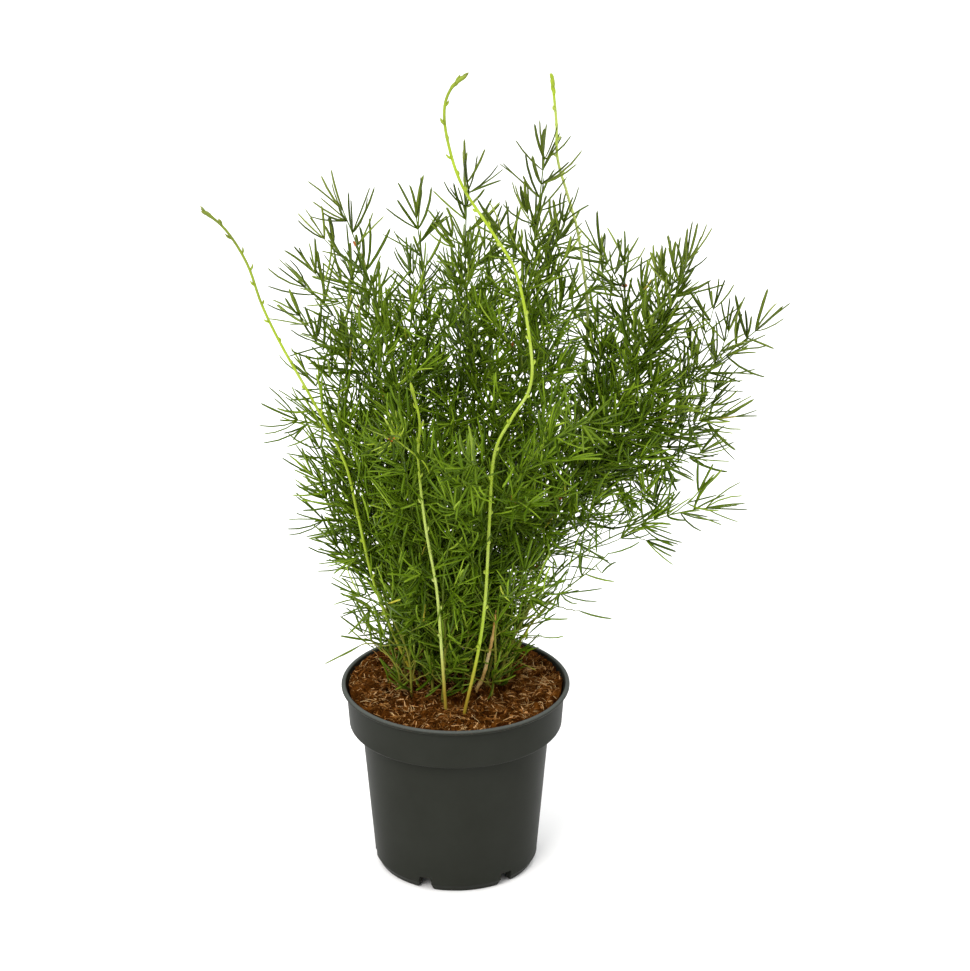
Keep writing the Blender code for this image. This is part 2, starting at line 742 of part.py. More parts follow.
def stand_on_origin(collection):
    """Moves the plant so that the origin is under the middle of its box."""
    bpy.context.view_layer.update()
    graph = bpy.context.evaluated_depsgraph_get()
    corners = []
    for obj in collection.objects:
        corners += [obj.matrix_world @ Vector(c) for c in obj.evaluated_get(graph).bound_box]
    middle = [(min(c[k] for c in corners) + max(c[k] for c in corners)) / 2 for k in range(2)]
    pivot = bpy.data.objects.new("pot_axis", None)
    collection.objects.link(pivot)
    for obj in bpy.data.objects:
        if obj.type == "MESH":
            obj.parent = pivot
    pivot.location = (-middle[0], -middle[1], 0.0)


def main():
    clear_scene()
    plant = new_collection("foxtail_fern")
    make_pot(plant)
    shoots, stems, twigs = plant_lines(Room())
    room = solid_room(shoots, stems, twigs)
    feet = [(*frond.base, STEM_BASE_RADIUS) for frond in FRONDS]
    feet += [(*shoot.points[0], shoot.radius) for shoot in (*SHOOTS, OLD_STALK)]
    make_soil(plant, feet)
    pattern = needle_pattern()
    for index, shoot in enumerate(SHOOTS):
        make_shoot(shoot, shoots[shoot.name], random.Random(300 + index), pattern, plant)
    make_old_stalk(shoots[OLD_STALK.name], plant)
    for index, frond in enumerate(FRONDS):
        rng = random.Random(400 + index)
        make_frond(frond, stems[frond.name], twigs[frond.name], index, room, rng, pattern, plant)
    stand_on_origin(plant)


main()
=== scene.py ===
# %% [markdown]
# # A foxtail fern in a nursery pot
#
# This lesson dresses a potted asparagus fern. The plant is a bush of arching fronds. Each frond is a thin
# stem with side twigs, and every twig is lined with small bunches of flat needles. A few bare young shoots
# stand out of the bush, and all of it grows from fibrous potting mix in a plain plastic pot.
#
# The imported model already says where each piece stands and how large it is. Its solids carry only some of
# the twigs and needles, so each one is replaced here by a finer piece that follows the same lines.

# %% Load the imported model
import math
import random
from collections import namedtuple

import bmesh
import bpy
import numpy as np
from mathutils import Matrix, Vector, noise


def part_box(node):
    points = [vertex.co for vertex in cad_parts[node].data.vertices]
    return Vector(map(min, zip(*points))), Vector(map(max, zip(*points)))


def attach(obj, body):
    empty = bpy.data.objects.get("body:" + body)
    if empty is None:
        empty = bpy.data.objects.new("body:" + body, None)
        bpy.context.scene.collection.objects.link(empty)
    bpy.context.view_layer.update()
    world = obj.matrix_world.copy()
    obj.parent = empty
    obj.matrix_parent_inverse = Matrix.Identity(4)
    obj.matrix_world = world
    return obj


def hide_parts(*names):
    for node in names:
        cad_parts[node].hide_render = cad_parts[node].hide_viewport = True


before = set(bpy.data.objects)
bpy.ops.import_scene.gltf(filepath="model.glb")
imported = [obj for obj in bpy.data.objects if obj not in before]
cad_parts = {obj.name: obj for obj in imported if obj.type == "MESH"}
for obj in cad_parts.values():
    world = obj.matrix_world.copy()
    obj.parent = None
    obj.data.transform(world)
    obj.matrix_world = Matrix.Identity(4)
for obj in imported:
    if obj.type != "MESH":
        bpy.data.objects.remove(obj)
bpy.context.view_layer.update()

# %% [markdown]
# A plant is easiest to think of round the middle of its pot, in millimetres. The frame is in metres and its
# origin is under the middle of the whole bush, so one small function carries points from the first to the
# second. The pot's own box gives the place of its axis.

# %% Work in millimetres round the pot's axis
MM = 0.001
pot_low, pot_high = (np.array(corner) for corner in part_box("pot"))
POT_AXIS = np.array([*((pot_low + pot_high) / 2)[:2], 0.0])


def in_frame(points):
    """Points in millimetres from the pot's axis and the ground, as metres in the frame."""
    return np.asarray(points, float) * MM + POT_AXIS


print("pot axis at", POT_AXIS.round(4))

# %% [markdown]
# Every finished piece is a mesh whose object stays at the origin, unturned. It rides on the plant's one
# body and stands for a node of the imported model, whose solid it hides.

# %% Hand a finished mesh over to the model
def new_object(name, data):
    made = bpy.data.objects.new(name, data)
    bpy.context.scene.collection.objects.link(made)
    return made


def mesh_of(bm, name):
    mesh = bpy.data.meshes.new(name)
    bm.to_mesh(mesh)
    bm.free()
    return mesh


def evaluated_mesh(obj):
    return bpy.data.meshes.new_from_object(obj.evaluated_get(bpy.context.evaluated_depsgraph_get()))


def add_piece(name, mesh, look, node):
    piece = new_object(name, mesh)
    mesh.materials.clear()
    mesh.materials.append(look)
    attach(piece, "root")
    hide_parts(node)
    mesh.calc_loop_triangles()
    return len(mesh.loop_triangles)


# %% [markdown]
# ## Shader groups
#
# Natural surfaces are never one colour. The same two effects are needed on the plastic, the mix and the
# leaves, so each is a node group that is built once: a mottle, which gives a slow and a fine mask, and a
# grain, which gives a height for a Bump node. Their inputs are named, so a material sets its own scale.
#
# Each helper below adds one node and gives back the output that the next node needs, so a material reads
# from its first noise to its last colour like a sum.

# %% Add a node and link it
def feed(tree, socket, value):
    """Gives an input a value, or a link if the value is another node's output."""
    if isinstance(value, bpy.types.NodeSocket):
        tree.links.new(value, socket)
    else:
        socket.default_value = value


def wire(tree, kind, at, inputs, out=0, **settings):
    """One node with its settings and inputs. It gives back one of the node's outputs."""
    made = tree.nodes.new("ShaderNode" + kind)
    made.location = at
    for name, value in settings.items():
        setattr(made, name, value)
    for name, value in inputs.items():
        feed(tree, made.inputs[name], value)
    return made.outputs[out]


# %% Sums, ranges and colours
MIX_A, MIX_B, MIX_COLOUR = 6, 7, 2


def added(tree, at, first, second, clamp=True):
    return wire(tree, "Math", at, {0: first, 1: second}, operation="ADD", use_clamp=clamp)


def multiplied(tree, at, first, second):
    return wire(tree, "Math", at, {0: first, 1: second}, operation="MULTIPLY")


def remap(tree, at, value, source=(0.0, 1.0), target=(0.0, 1.0)):
    """The value moved from one range to another and held inside it."""
    ends = {"From Min": source[0], "From Max": source[1], "To Min": target[0], "To Max": target[1]}
    return wire(tree, "MapRange", at, {"Value": value, **ends})


def ramp(tree, at, value, stops):
    colour = wire(tree, "ValToRGB", at, {"Fac": value})
    elements = colour.node.color_ramp.elements
    while len(elements) < len(stops):
        elements.new(1.0)
    for element, (place, tint) in zip(elements, stops):
        element.position = place
        element.color = (*tint, 1.0)
    return colour


def blend(tree, at, factor, first, second, blend_type="MIX"):
    """One colour over another. Each is a socket or three numbers."""
    first, second = (c if isinstance(c, bpy.types.NodeSocket) else (*c, 1.0) for c in (first, second))
    inputs = {"Factor": factor, MIX_A: first, MIX_B: second}
    return wire(tree, "Mix", at, inputs, MIX_COLOUR, data_type="RGBA", blend_type=blend_type)


def object_place(tree, at):
    return wire(tree, "TexCoord", at, {}, "Object")


def object_height(tree, at):
    return wire(tree, "SeparateXYZ", (at[0] + 200, at[1]), {"Vector": object_place(tree, at)}, "Z")


def number(tree, at, name):
    """One of the numbers that a mesh keeps for each of its points."""
    return wire(tree, "Attribute", at, {}, "Fac", attribute_name=name)


# %% The mottle and the grain
def new_group(name, inputs, outputs):
    """An empty group of plain numbers, with the sockets at its start and its end."""
    group = bpy.data.node_groups.new(name, "ShaderNodeTree")
    for label, start in inputs.items():
        socket = group.interface.new_socket(label, in_out="INPUT", socket_type="NodeSocketFloat")
        socket.default_value = start
    for label in outputs:
        group.interface.new_socket(label, in_out="OUTPUT", socket_type="NodeSocketFloat")
    first, last = group.nodes.new("NodeGroupInput"), group.nodes.new("NodeGroupOutput")
    first.location, last.location = (-600, 0), (600, 0)
    return group, first.outputs, last.inputs


def noise_value(group, at, scale, detail, roughness=0.5):
    place = object_place(group, (-600, at[1]))
    inputs = {"Vector": place, "Scale": scale, "Detail": detail, "Roughness": roughness}
    return wire(group, "TexNoise", at, inputs, "Fac")


def build_mottle():
    """Slow patches and fine specks, both from 0 to 1."""
    scales = {"Patch Scale": 30.0, "Speck Scale": 400.0}
    group, first, last = new_group("mottle", scales, ("Patches", "Specks"))
    for scale, out, y in (("Patch Scale", "Patches", 150), ("Speck Scale", "Specks", -150)):
        value = noise_value(group, (-300, y), first[scale], 4.0, 0.6)
        feed(group, last[out], remap(group, (0, y), value, (0.3, 0.7)))
    return group


def build_grain():
    """A fine height, with a second layer at four times the scale."""
    group, first, last = new_group("grain", {"Scale": 800.0, "Fine Share": 0.4}, ("Height",))
    coarse = noise_value(group, (-200, 150), first["Scale"], 2.0)
    fine = noise_value(group, (-200, -150), multiplied(group, (-400, -100), first["Scale"], 4.0), 3.0)
    share = multiplied(group, (50, -150), fine, first["Fine Share"])
    feed(group, last["Height"], added(group, (300, 0), coarse, share, False))
    return group


MOTTLE = build_mottle()
GRAIN = build_grain()
print("groups:", MOTTLE.name, GRAIN.name)


# %% Parts of a material that every look uses
def set_shader(tree, values):
    for name, value in values.items():
        feed(tree, tree.nodes["Principled BSDF"].inputs[name], value)


def new_look(name, roughness, shine=0.5):
    look = bpy.data.materials.new(name)
    look.use_nodes = True
    tree = look.node_tree
    tree.nodes["Principled BSDF"].location = (600, 0)
    tree.nodes["Material Output"].location = (900, 0)
    set_shader(tree, {"Roughness": roughness, "Specular IOR Level": shine})
    return look, tree


def mottled(tree, at, patch_scale, speck_scale):
    """The two masks of the mottle."""
    scales = {"Patch Scale": patch_scale, "Speck Scale": speck_scale}
    patches = wire(tree, "Group", at, scales, "Patches", node_tree=MOTTLE)
    return patches, patches.node.outputs["Specks"]


def add_bump(tree, scale, fine_share, strength, distance):
    grain = wire(tree, "Group", (0, -300), {"Scale": scale, "Fine Share": fine_share}, node_tree=GRAIN)
    inputs = {"Strength": strength, "Distance": distance, "Height": grain}
    set_shader(tree, {"Normal": wire(tree, "Bump", (300, -300), inputs)})


# %% [markdown]
# ## The pot
#
# A nursery pot is blown or moulded in one thin shell: a rolled lip that stiffens it, a wide band under the
# lip, a body that tapers so that pots stack, and a foot ring cut by slots that let water out. It could be a
# cylinder with loop cuts, but its whole shape is one outline, so the outline is spun round the axis. The
# slots are then cut with six small wedges.

# %% The pot's outline
POT_RADIUS = 70.0
POT_HEIGHT = 120.0
POT_WALL = 1.2
LIP_ROUND = 1.3
LIP_INNER_RADIUS = 67.2
LIP_FOOT = 116.9
BAND_TOP_RADIUS = 67.0
BAND_FOOT_RADIUS = 65.4
BAND_FOOT = 93.0
BAND_ROUND = 1.4
BODY_TOP_RADIUS = 57.7
BODY_FOOT_RADIUS = 50.5
BODY_FOOT = 4.6
FOOT_OUTER_RADIUS = 48.2
FOOT_INNER_RADIUS = 45.2
FLOOR_UNDERSIDE = 4.0
FLOOR_TOP = 6.2
POT_TURNS = 192
BODY_RINGS = 12


def arc(middle, radius, start, end, steps):
    """Points round part of a circle in the outline's plane, with angles in degrees."""
    turns = np.radians(np.linspace(start, end, steps))
    return [(middle[0] + radius * math.cos(a), middle[1] + radius * math.sin(a)) for a in turns]


def straight(start, end, steps):
    return [tuple(point) for point in np.linspace(start, end, steps)]


def pot_outline():
    """From the middle of the floor up the inside, over the lip and down the outside to the underside."""
    inner_foot = BODY_FOOT_RADIUS - POT_WALL
    lip_middle = (POT_RADIUS - LIP_ROUND, POT_HEIGHT - LIP_ROUND)
    band_corner = (BAND_FOOT_RADIUS - BAND_ROUND, BAND_FOOT + BAND_ROUND)
    body_corner = (BODY_FOOT_RADIUS - 1.6, BODY_FOOT + 0.4)
    return [
        (0.0, FLOOR_TOP),
        *arc((inner_foot - 2.0, FLOOR_TOP + 2.0), 2.0, -90, -5, 5),
        *straight((inner_foot + 0.6, 14.0), (BODY_TOP_RADIUS - POT_WALL, BAND_FOOT - 1.0), BODY_RINGS),
        (BODY_TOP_RADIUS - POT_WALL + 0.8, BAND_FOOT + POT_WALL),
        (BAND_FOOT_RADIUS - POT_WALL - 1.0, BAND_FOOT + POT_WALL),
        (BAND_FOOT_RADIUS - POT_WALL, BAND_FOOT + POT_WALL + 1.0),
        (BAND_TOP_RADIUS - POT_WALL, POT_HEIGHT - 4.4),
        (BAND_TOP_RADIUS - POT_WALL + 0.5, POT_HEIGHT - 3.0),
        *arc((LIP_INNER_RADIUS + 0.9, POT_HEIGHT - 0.9), 0.9, 180, 100, 5),
        *arc(lip_middle, LIP_ROUND, 88, -60, 10),
        (POT_RADIUS - 1.3, LIP_FOOT + 0.05),
        (BAND_TOP_RADIUS + 0.5, LIP_FOOT),
        (BAND_TOP_RADIUS, LIP_FOOT - 0.5),
        *straight((BAND_TOP_RADIUS - 0.15, LIP_FOOT - 2.0), (BAND_FOOT_RADIUS, band_corner[1] + 0.3), 4),
        *arc(band_corner, BAND_ROUND, 0, -90, 6),
        (BODY_TOP_RADIUS + 0.9, BAND_FOOT),
        (BODY_TOP_RADIUS + 0.1, BAND_FOOT - 0.6),
        *straight((BODY_TOP_RADIUS, BAND_FOOT - 1.6), (BODY_FOOT_RADIUS, BODY_FOOT + 1.6), BODY_RINGS),
        *arc(body_corner, 1.6, 0, -50, 4),
        (FOOT_OUTER_RADIUS + 0.1, 0.5),
        (FOOT_OUTER_RADIUS - 0.3, 0.0),
        (FOOT_INNER_RADIUS + 0.4, 0.0),
        (FOOT_INNER_RADIUS, 0.4),
        (FOOT_INNER_RADIUS - 0.6, FLOOR_UNDERSIDE),
        (0.0, FLOOR_UNDERSIDE),
    ]


def spun_mesh(name, outline, turns):
    """A closed shape from an outline that starts and ends on the axis, spun once round it."""
    bm = bmesh.new()
    verts = [bm.verts.new((r * MM, 0.0, z * MM)) for r, z in outline]
    edges = [bm.edges.new(pair) for pair in zip(verts[:-1], verts[1:])]
    bmesh.ops.spin(
        bm, geom=verts + edges, cent=(0, 0, 0), axis=(0, 0, 1), dvec=(0, 0, 0),
        angle=math.tau, steps=turns, use_merge=True, use_duplicate=False,
    )
    bmesh.ops.remove_doubles(bm, verts=bm.verts, dist=0.02 * MM)
    bmesh.ops.recalc_face_normals(bm, faces=bm.faces)
    return mesh_of(bm, name)


pot_mesh = spun_mesh("pot_shell", pot_outline(), POT_TURNS)
print("pot outline points:", len(pot_outline()), "faces:", len(pot_mesh.polygons))

# %% [markdown]
# The slots are wider at the ground and their lower corners are eased, as a moulded foot's are. A wedge with
# that outline is cut through the ring and the corner of the floor six times with an exact Boolean.

# %% Cut the drain slots
SLOT_COUNT = 6
SLOT_TURN = math.radians(37.5)
SLOT_HEIGHT = 8.4
SLOT_HALF_WIDTHS = ((3.2, SLOT_HEIGHT), (3.7, SLOT_HEIGHT - 0.6), (4.5, 1.4), (5.6, -0.1), (5.8, -1.0))
SLOT_NEAR, SLOT_FAR = 41.5, 55.5


def slot_wedges():
    bm = bmesh.new()
    right = [bm.verts.new((x * MM, SLOT_NEAR * MM, z * MM)) for x, z in SLOT_HALF_WIDTHS]
    left = [bm.verts.new((-x * MM, SLOT_NEAR * MM, z * MM)) for x, z in reversed(SLOT_HALF_WIDTHS)]
    pushed = bmesh.ops.extrude_face_region(bm, geom=[bm.faces.new(right + left)])["geom"]
    moved = [item for item in pushed if isinstance(item, bmesh.types.BMVert)]
    bmesh.ops.translate(bm, verts=moved, vec=(0, (SLOT_FAR - SLOT_NEAR) * MM, 0))
    bmesh.ops.recalc_face_normals(bm, faces=bm.faces)
    one = bm.verts[:] + bm.edges[:] + bm.faces[:]
    first, step = (Matrix.Rotation(turn, 3, "Z") for turn in (math.pi + SLOT_TURN, math.tau / SLOT_COUNT))
    bmesh.ops.rotate(bm, verts=bm.verts, cent=(0, 0, 0), matrix=first)
    for _ in range(SLOT_COUNT - 1):
        one = bmesh.ops.duplicate(bm, geom=one)["geom"]
        verts = [item for item in one if isinstance(item, bmesh.types.BMVert)]
        bmesh.ops.rotate(bm, verts=verts, cent=(0, 0, 0), matrix=step)
    return mesh_of(bm, "slot_wedges")


def cut(mesh, tool):
    """The first mesh less the second."""
    body, wedge = new_object("body", mesh), new_object("wedge", tool)
    boolean = body.modifiers.new("cut", "BOOLEAN")
    boolean.operation = "DIFFERENCE"
    boolean.solver = "EXACT"
    boolean.object = wedge
    result = evaluated_mesh(body)
    for obj in (body, wedge):
        bpy.data.objects.remove(obj)
    return result


pot_mesh = cut(pot_mesh, slot_wedges())
for vert in pot_mesh.vertices:
    vert.co += Vector(POT_AXIS)
pot_mesh.shade_smooth()
pot_mesh.set_sharp_from_angle(angle=math.radians(38))
print("pot faces:", len(pot_mesh.polygons))

# %% [markdown]
# The plastic is a dark grey that leans to green. It is satin, not glossy: the studio's white walls show in it
# only as a soft pale edge. A faint mottle in its roughness and a very fine grain keep it from looking
# computer-smooth, and a little brown dust from the mix clings under the lip. The thin light line along the
# top of the lip is a painted highlight: a lighter grey in the colour there.

# %% Pot plastic
PLASTIC_DARK = (0.0190, 0.0202, 0.0160)
PLASTIC_LIGHT = (0.0234, 0.0250, 0.0204)
PLASTIC_SHINE = 0.03
# A lighter grey for the top of the lip: a painted highlight, the thin light line along the rim.
LIP_PAINTED_HIGHLIGHT = (0.105, 0.115, 0.108)
MIX_DUST = (0.110, 0.070, 0.042)
DUST_HEIGHTS = (0.108, 0.119)
LIP_HIGHLIGHT_HEIGHTS = (0.1188, 0.12)


def build_plastic():
    look, tree = new_look("pot_plastic", 0.4, PLASTIC_SHINE)
    patches, specks = mottled(tree, (-500, 100), 22.0, 900.0)
    tone = ramp(tree, (-200, 250), patches, ((0.0, PLASTIC_DARK), (1.0, PLASTIC_LIGHT)))
    height = object_height(tree, (-900, -200))
    under_lip = remap(tree, (-500, -200), height, DUST_HEIGHTS, (0.0, 0.5))
    dust = multiplied(tree, (-250, -150), under_lip, specks)
    dust = remap(tree, (-50, -150), dust, (0.28, 0.5), (0.0, 0.35))
    dusty = blend(tree, (200, 150), dust, tone, MIX_DUST)
    # The top of the lip is blended towards the lighter grey: a painted highlight.
    top = remap(tree, (200, 400), height, LIP_HIGHLIGHT_HEIGHTS, (0.0, 0.8))
    gloss = remap(tree, (100, -50), patches, target=(0.36, 0.46))
    set_shader(tree, {"Base Color": blend(tree, (400, 250), top, dusty, LIP_PAINTED_HIGHLIGHT), "Roughness": gloss})
    add_bump(tree, 1400.0, 0.5, 0.08, 0.0002)
    return look


print("pot triangles:", add_piece("pot_shell", pot_mesh, build_plastic(), "pot"))

# %% [markdown]
# ## How the plant grows
#
# The lines of the stems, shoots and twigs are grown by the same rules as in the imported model, with the same
# seeded draws, so the finer fronds lie where its solids lie. A frond needs only a foot, a tip, the steepness
# of its tip and the length of its longest twigs. The rest is a curve between them.

# %% Where the fronds and shoots stand
Frond = namedtuple("Frond", "name base tip rise side")
FRONDS = (
    Frond("upper_left", (-12, 3), (-64, -6, 424), 68, 60),
    Frond("left_high", (-22, 12), (-88, 16, 370), 42, 58),
    Frond("left", (-30, 3), (-92, -26, 302), 20, 58),
    Frond("left_low", (-36, 12), (-80, 12, 222), -2, 46),
    Frond("left_foot", (-33, -6), (-58, -22, 154), -20, 26),
    Frond("top_left", (-9, 14), (-22, 24, 410), 80, 62),
    Frond("crown_left", (0, 10), (8, 16, 434), 88, 64),
    Frond("crown", (8, 3), (52, -4, 454), 84, 64),
    Frond("right_high", (14, 12), (86, 20, 388), 128, 60),
    Frond("right_top", (19, 0), (135, -10, 394), 76, 62),
    Frond("far_right", (24, 9), (178, 4, 346), 42, 62),
    Frond("right", (31, 17), (160, 30, 280), 6, 58),
    Frond("right_low", (26, -5), (150, -14, 240), 8, 34),
    Frond("right_foot", (32, 3), (90, -48, 226), 52, 30),
    Frond("front_left", (-14, -7), (-40, -100, 322), 28, 58),
    Frond("front", (-8, -22), (12, -106, 306), 20, 58),
    Frond("front_right", (4, -8), (76, -92, 326), 28, 60),
    Frond("front_low_left", (-27, -13), (-50, -80, 204), -4, 42),
    Frond("front_low_right", (22, -14), (44, -88, 214), -2, 44),
    Frond("back_left", (-17, 25), (-70, 98, 346), 26, 60),
    Frond("back", (2, 24), (10, 116, 352), 24, 60),
    Frond("back_right", (19, 25), (92, 100, 350), 26, 60),
    Frond("back_low_left", (-25, 33), (-46, 98, 222), -6, 44),
    Frond("back_low_right", (25, 36), (62, 100, 232), -4, 46),
)

Shoot = namedtuple("Shoot", "name points radius drawn tone")
SHOOTS = (
    Shoot(
        "shoot_left",
        (
            (-22, -6), (-36, -9, 152), (-49, -12, 192), (-58, -14, 238), (-65, -15, 271), (-82, -15, 308),
            (-100, -14, 343), (-111, -13, 368), (-119, -12, 393), (-131, -10, 413), (-145, -8, 425),
        ),
        1.25, (0.95, 0.8), 0.5,
    ),
    Shoot(
        "shoot_front",
        (
            (5, -40), (14, -44, 163), (18, -47, 200), (20, -49, 245), (23, -49, 289), (33, -48, 311),
            (43, -46, 328), (44, -43, 350), (36, -36, 393), (22, -30, 417), (5, -25, 443), (-3, -20, 467),
            (-5, -16, 485), (-1, -14, 497), (8, -12, 505),
        ),
        1.5, (1.0, 0.85), 0.55,
    ),
    Shoot(
        "shoot_back",
        (
            (28, 27), (45, 26, 165), (64, 24, 230), (76, 22, 300), (79, 20, 350), (76, 18, 378),
            (72, 16, 404), (66, 14, 426), (60, 12, 448), (59, 10, 471), (56, 8, 500),
        ),
        1.2, (0.9, 0.8), 0.95,
    ),
    Shoot(
        "shoot_short",
        (
            (-6, -36), (-8, -40, 155), (-11, -45, 202), (-17, -50, 243), (-21, -54, 287), (-20, -55, 312),
            (-25, -57, 336),
        ),
        1.45, (1.0, 0.72), 0.8,
    ),
)
OLD_STALK = Shoot(
    "old_stalk", ((13, -8), (17, -10, 128), (22, -14, 153), (25, -17, 175)), 1.1, (1.15, 0.85), 0.0,
)
print("fronds:", len(FRONDS), "shoots:", len(SHOOTS))

# %% The mix's own surface
SOIL_LEVEL = 114.5
SOIL_MOUND = 2.2
SOIL_TILT = 1.2
SOIL_RELIEF = 2.6
CRUMB_SIZE = 17.0
CRUMB_ROUGHNESS = 0.9
CRUMB_STEP = 2.1
CRUMB_OCTAVES = 3
HOLE_DEPTH = 16.0
FOOT_GAP = 1.0
STEM_RISE = 2.0


def soil_height(x, y):
    """The height of the mix in millimetres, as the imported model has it."""
    reach = math.hypot(x, y) / BAND_TOP_RADIUS
    mound = SOIL_MOUND * (1.0 - reach * reach) + SOIL_TILT * y / BAND_TOP_RADIUS
    crumbs = noise.fractal(Vector((x, y, 0.0)) / CRUMB_SIZE, CRUMB_ROUGHNESS, CRUMB_STEP, CRUMB_OCTAVES)
    return SOIL_LEVEL + mound + SOIL_RELIEF * crumbs


# %% Lines in space
def bezier(a, b, c, d, steps):
    t = np.linspace(0.0, 1.0, steps + 1)[:, None]
    return a * (1 - t) ** 3 + 3 * b * t * (1 - t) ** 2 + 3 * c * t * t * (1 - t) + d * t**3


def through(points, steps):
    """A smooth line (Catmull-Rom) through the points, with this many steps between two of them."""
    p = np.array(points, float)
    p = np.vstack((2 * p[0] - p[1], p, 2 * p[-1] - p[-2]))
    t = np.linspace(0.0, 1.0, steps, endpoint=False)[:, None]
    line = []
    for a, b, c, d in zip(p, p[1:], p[2:], p[3:]):
        bend = 2 * a - 5 * b + 4 * c - d
        twist = 3 * b - a - 3 * c + d
        line.extend(0.5 * (2 * b + (c - a) * t + bend * t * t + twist * t**3))
    line.append(p[-2])
    return np.array(line)


def lengths(line):
    """The distance from the line's start to each of its points."""
    return np.concatenate(([0.0], np.cumsum(np.linalg.norm(np.diff(line, axis=0), axis=1))))


def along(line, share):
    """The point at this share of the line's length, and the line's direction there."""
    runs = lengths(line)
    where = share * runs[-1]
    point = np.array([np.interp(where, runs, line[:, k]) for k in range(3)])
    step = min(max(int(np.searchsorted(runs, where)), 1), len(line) - 1)
    direction = line[step] - line[step - 1]
    return point, direction / np.linalg.norm(direction)


def thinned(line, steps):
    """The same line with this many even steps."""
    return np.array([along(line, share)[0] for share in np.linspace(0.0, 1.0, steps + 1)])


def across(direction, turn_by):
    """A unit vector square to the direction, turned round it from the upward side."""
    up = np.array((0.0, 0.0, 1.0)) if abs(direction[2]) < 0.95 else np.array((0.0, 1.0, 0.0))
    side = np.cross(direction, up)
    side /= np.linalg.norm(side)
    upper = np.cross(side, direction)
    return upper * math.cos(turn_by) + side * math.sin(turn_by)


def rooted(line, x, y):
    """The line with a straight foot under it, down in its hole in the mix."""
    return np.vstack(([x, y, soil_height(x, y) - HOLE_DEPTH + FOOT_GAP], line))


# %% [markdown]
# Stems and twigs must not run through each other. Each round length that is placed claims its room, and a
# new one is bent or turned until its whole length is free. The distance between two straight lengths has a
# closed formula, which works on all the placed lengths at once.

# %% Keep the lengths apart
CLEARANCE = 0.5
LOWEST_NEEDLE = 3.0


def segment_gaps(p, q, a, b):
    """The least distance from segment pq to each of the segments ab."""
    d1, d2, r = q - p, b - a, p - a
    e1, e2 = d1 @ d1, np.maximum((d2 * d2).sum(1), 1e-9)
    f, c, g = (d2 * r).sum(1), r @ d1, d2 @ d1
    down = e1 * e2 - g * g
    s = np.clip(np.where(down > 1e-9, (g * f - c * e2) / np.maximum(down, 1e-9), 0.0), 0.0, 1.0)
    t = np.clip((g * s + f) / e2, 0.0, 1.0)
    s = np.clip((g * t - c) / e1, 0.0, 1.0)
    return np.linalg.norm((p + s[:, None] * d1) - (a + t[:, None] * d2), axis=1)


def dips(line):
    """Whether a twig or needle comes down to the mix or to the pot's lip."""
    low = line[-1, 2] < POT_HEIGHT + LOWEST_NEEDLE
    return low and np.hypot(*line[-1, :2]) < POT_RADIUS + LOWEST_NEEDLE


class Room:
    """The round lengths that are already placed."""

    def __init__(self):
        self.starts = np.empty((0, 3))
        self.ends = np.empty((0, 3))
        self.radii = np.empty(0)
        self.owners = np.empty(0, int)

    def add(self, line, radius, owner):
        count = len(line) - 1
        self.starts = np.vstack((self.starts, line[:-1]))
        self.ends = np.vstack((self.ends, line[1:]))
        self.radii = np.concatenate((self.radii, np.full(count, radius)))
        self.owners = np.concatenate((self.owners, np.full(count, owner)))

    def free(self, line, radius, skip):
        """Whether a length along the line stays clear of the pot and of all but the skipped owner's."""
        if dips(line):
            return False
        other = self.owners != skip
        if not other.any():
            return True
        a, b, radii = self.starts[other], self.ends[other], self.radii[other]
        return all(
            (segment_gaps(p, q, a, b) - radii - radius).min() > CLEARANCE
            for p, q in zip(line[:-1], line[1:])
        )


# %% [markdown]
# A stem's arch is a Bezier curve: it leaves the mix upright, leans out, and ends at the angle that its tip
# needs. A slow wave across the arch makes it look grown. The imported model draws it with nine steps. Here the
# same wave is kept for a second, smoother drawing with many more.

# %% Grow the stems
STEM_STEPS = 9
FINE_STEM_STEPS = 40
STEM_BASE_RADIUS = 1.45
STEM_LEAN = 0.16
STEM_FOOT_PULL = 0.42
STEM_TIP_PULL = 0.33
STEM_WANDER = 3.0
STEM_TRIES = 30


def stem_line(frond, wander, wave, steps):
    """The arch of a frond's stem, with a wave of (turns, phase) across it."""
    x, y = frond.base
    start = np.array((x, y, soil_height(x, y) + STEM_RISE))
    tip = np.array(frond.tip, float)
    reach = np.linalg.norm(tip - start)
    outward = tip[:2] - start[:2]
    outward /= max(np.linalg.norm(outward), 1e-6)
    rise = math.radians(frond.rise)
    heading = np.array((*(outward * math.cos(rise)), math.sin(rise)))
    lean = np.array((*(outward * STEM_LEAN), 1.0))
    lower = start + lean * reach * STEM_FOOT_PULL
    upper = tip - heading * reach * STEM_TIP_PULL
    line = bezier(start, lower, upper, tip, steps)
    share = np.linspace(0.0, 1.0, len(line))
    sideways = np.array((-outward[1], outward[0], 0.0))
    waves = np.sin(share * math.tau * wave[0] + wave[1])
    return line + sideways * (wander * waves * np.sin(share * math.pi))[:, None]


def grow_stem(frond, owner, room, rng):
    """The model's line of the stem and the smooth one, with the least wandering that is clear."""
    for attempt in range(STEM_TRIES):
        wander = STEM_WANDER * (1.0 + 0.25 * attempt)
        wave = (rng.uniform(1.1, 1.7), rng.uniform(0, math.tau))
        line = stem_line(frond, wander, wave, STEM_STEPS)
        if room.free(line, STEM_BASE_RADIUS, owner):
            room.add(line, STEM_BASE_RADIUS, owner)
            return line, stem_line(frond, wander, wave, FINE_STEM_STEPS)
    raise ValueError(f"no clear way for {frond.name}")


# %% Grow the twigs
TWIG_SPACING = 11.5
TWIG_BASE_RADIUS = 0.95
TWIG_FIRST = 0.13
TWIG_LAST = 0.83
TWIG_ANGLE = 52.0
TWIG_LIFT = 0.14
TWIG_TRIES = 14
TWIG_SHORTEST = 12.0
GOLDEN_ANGLE = math.radians(137.5)

Twig = namedtuple("Twig", "share start end")


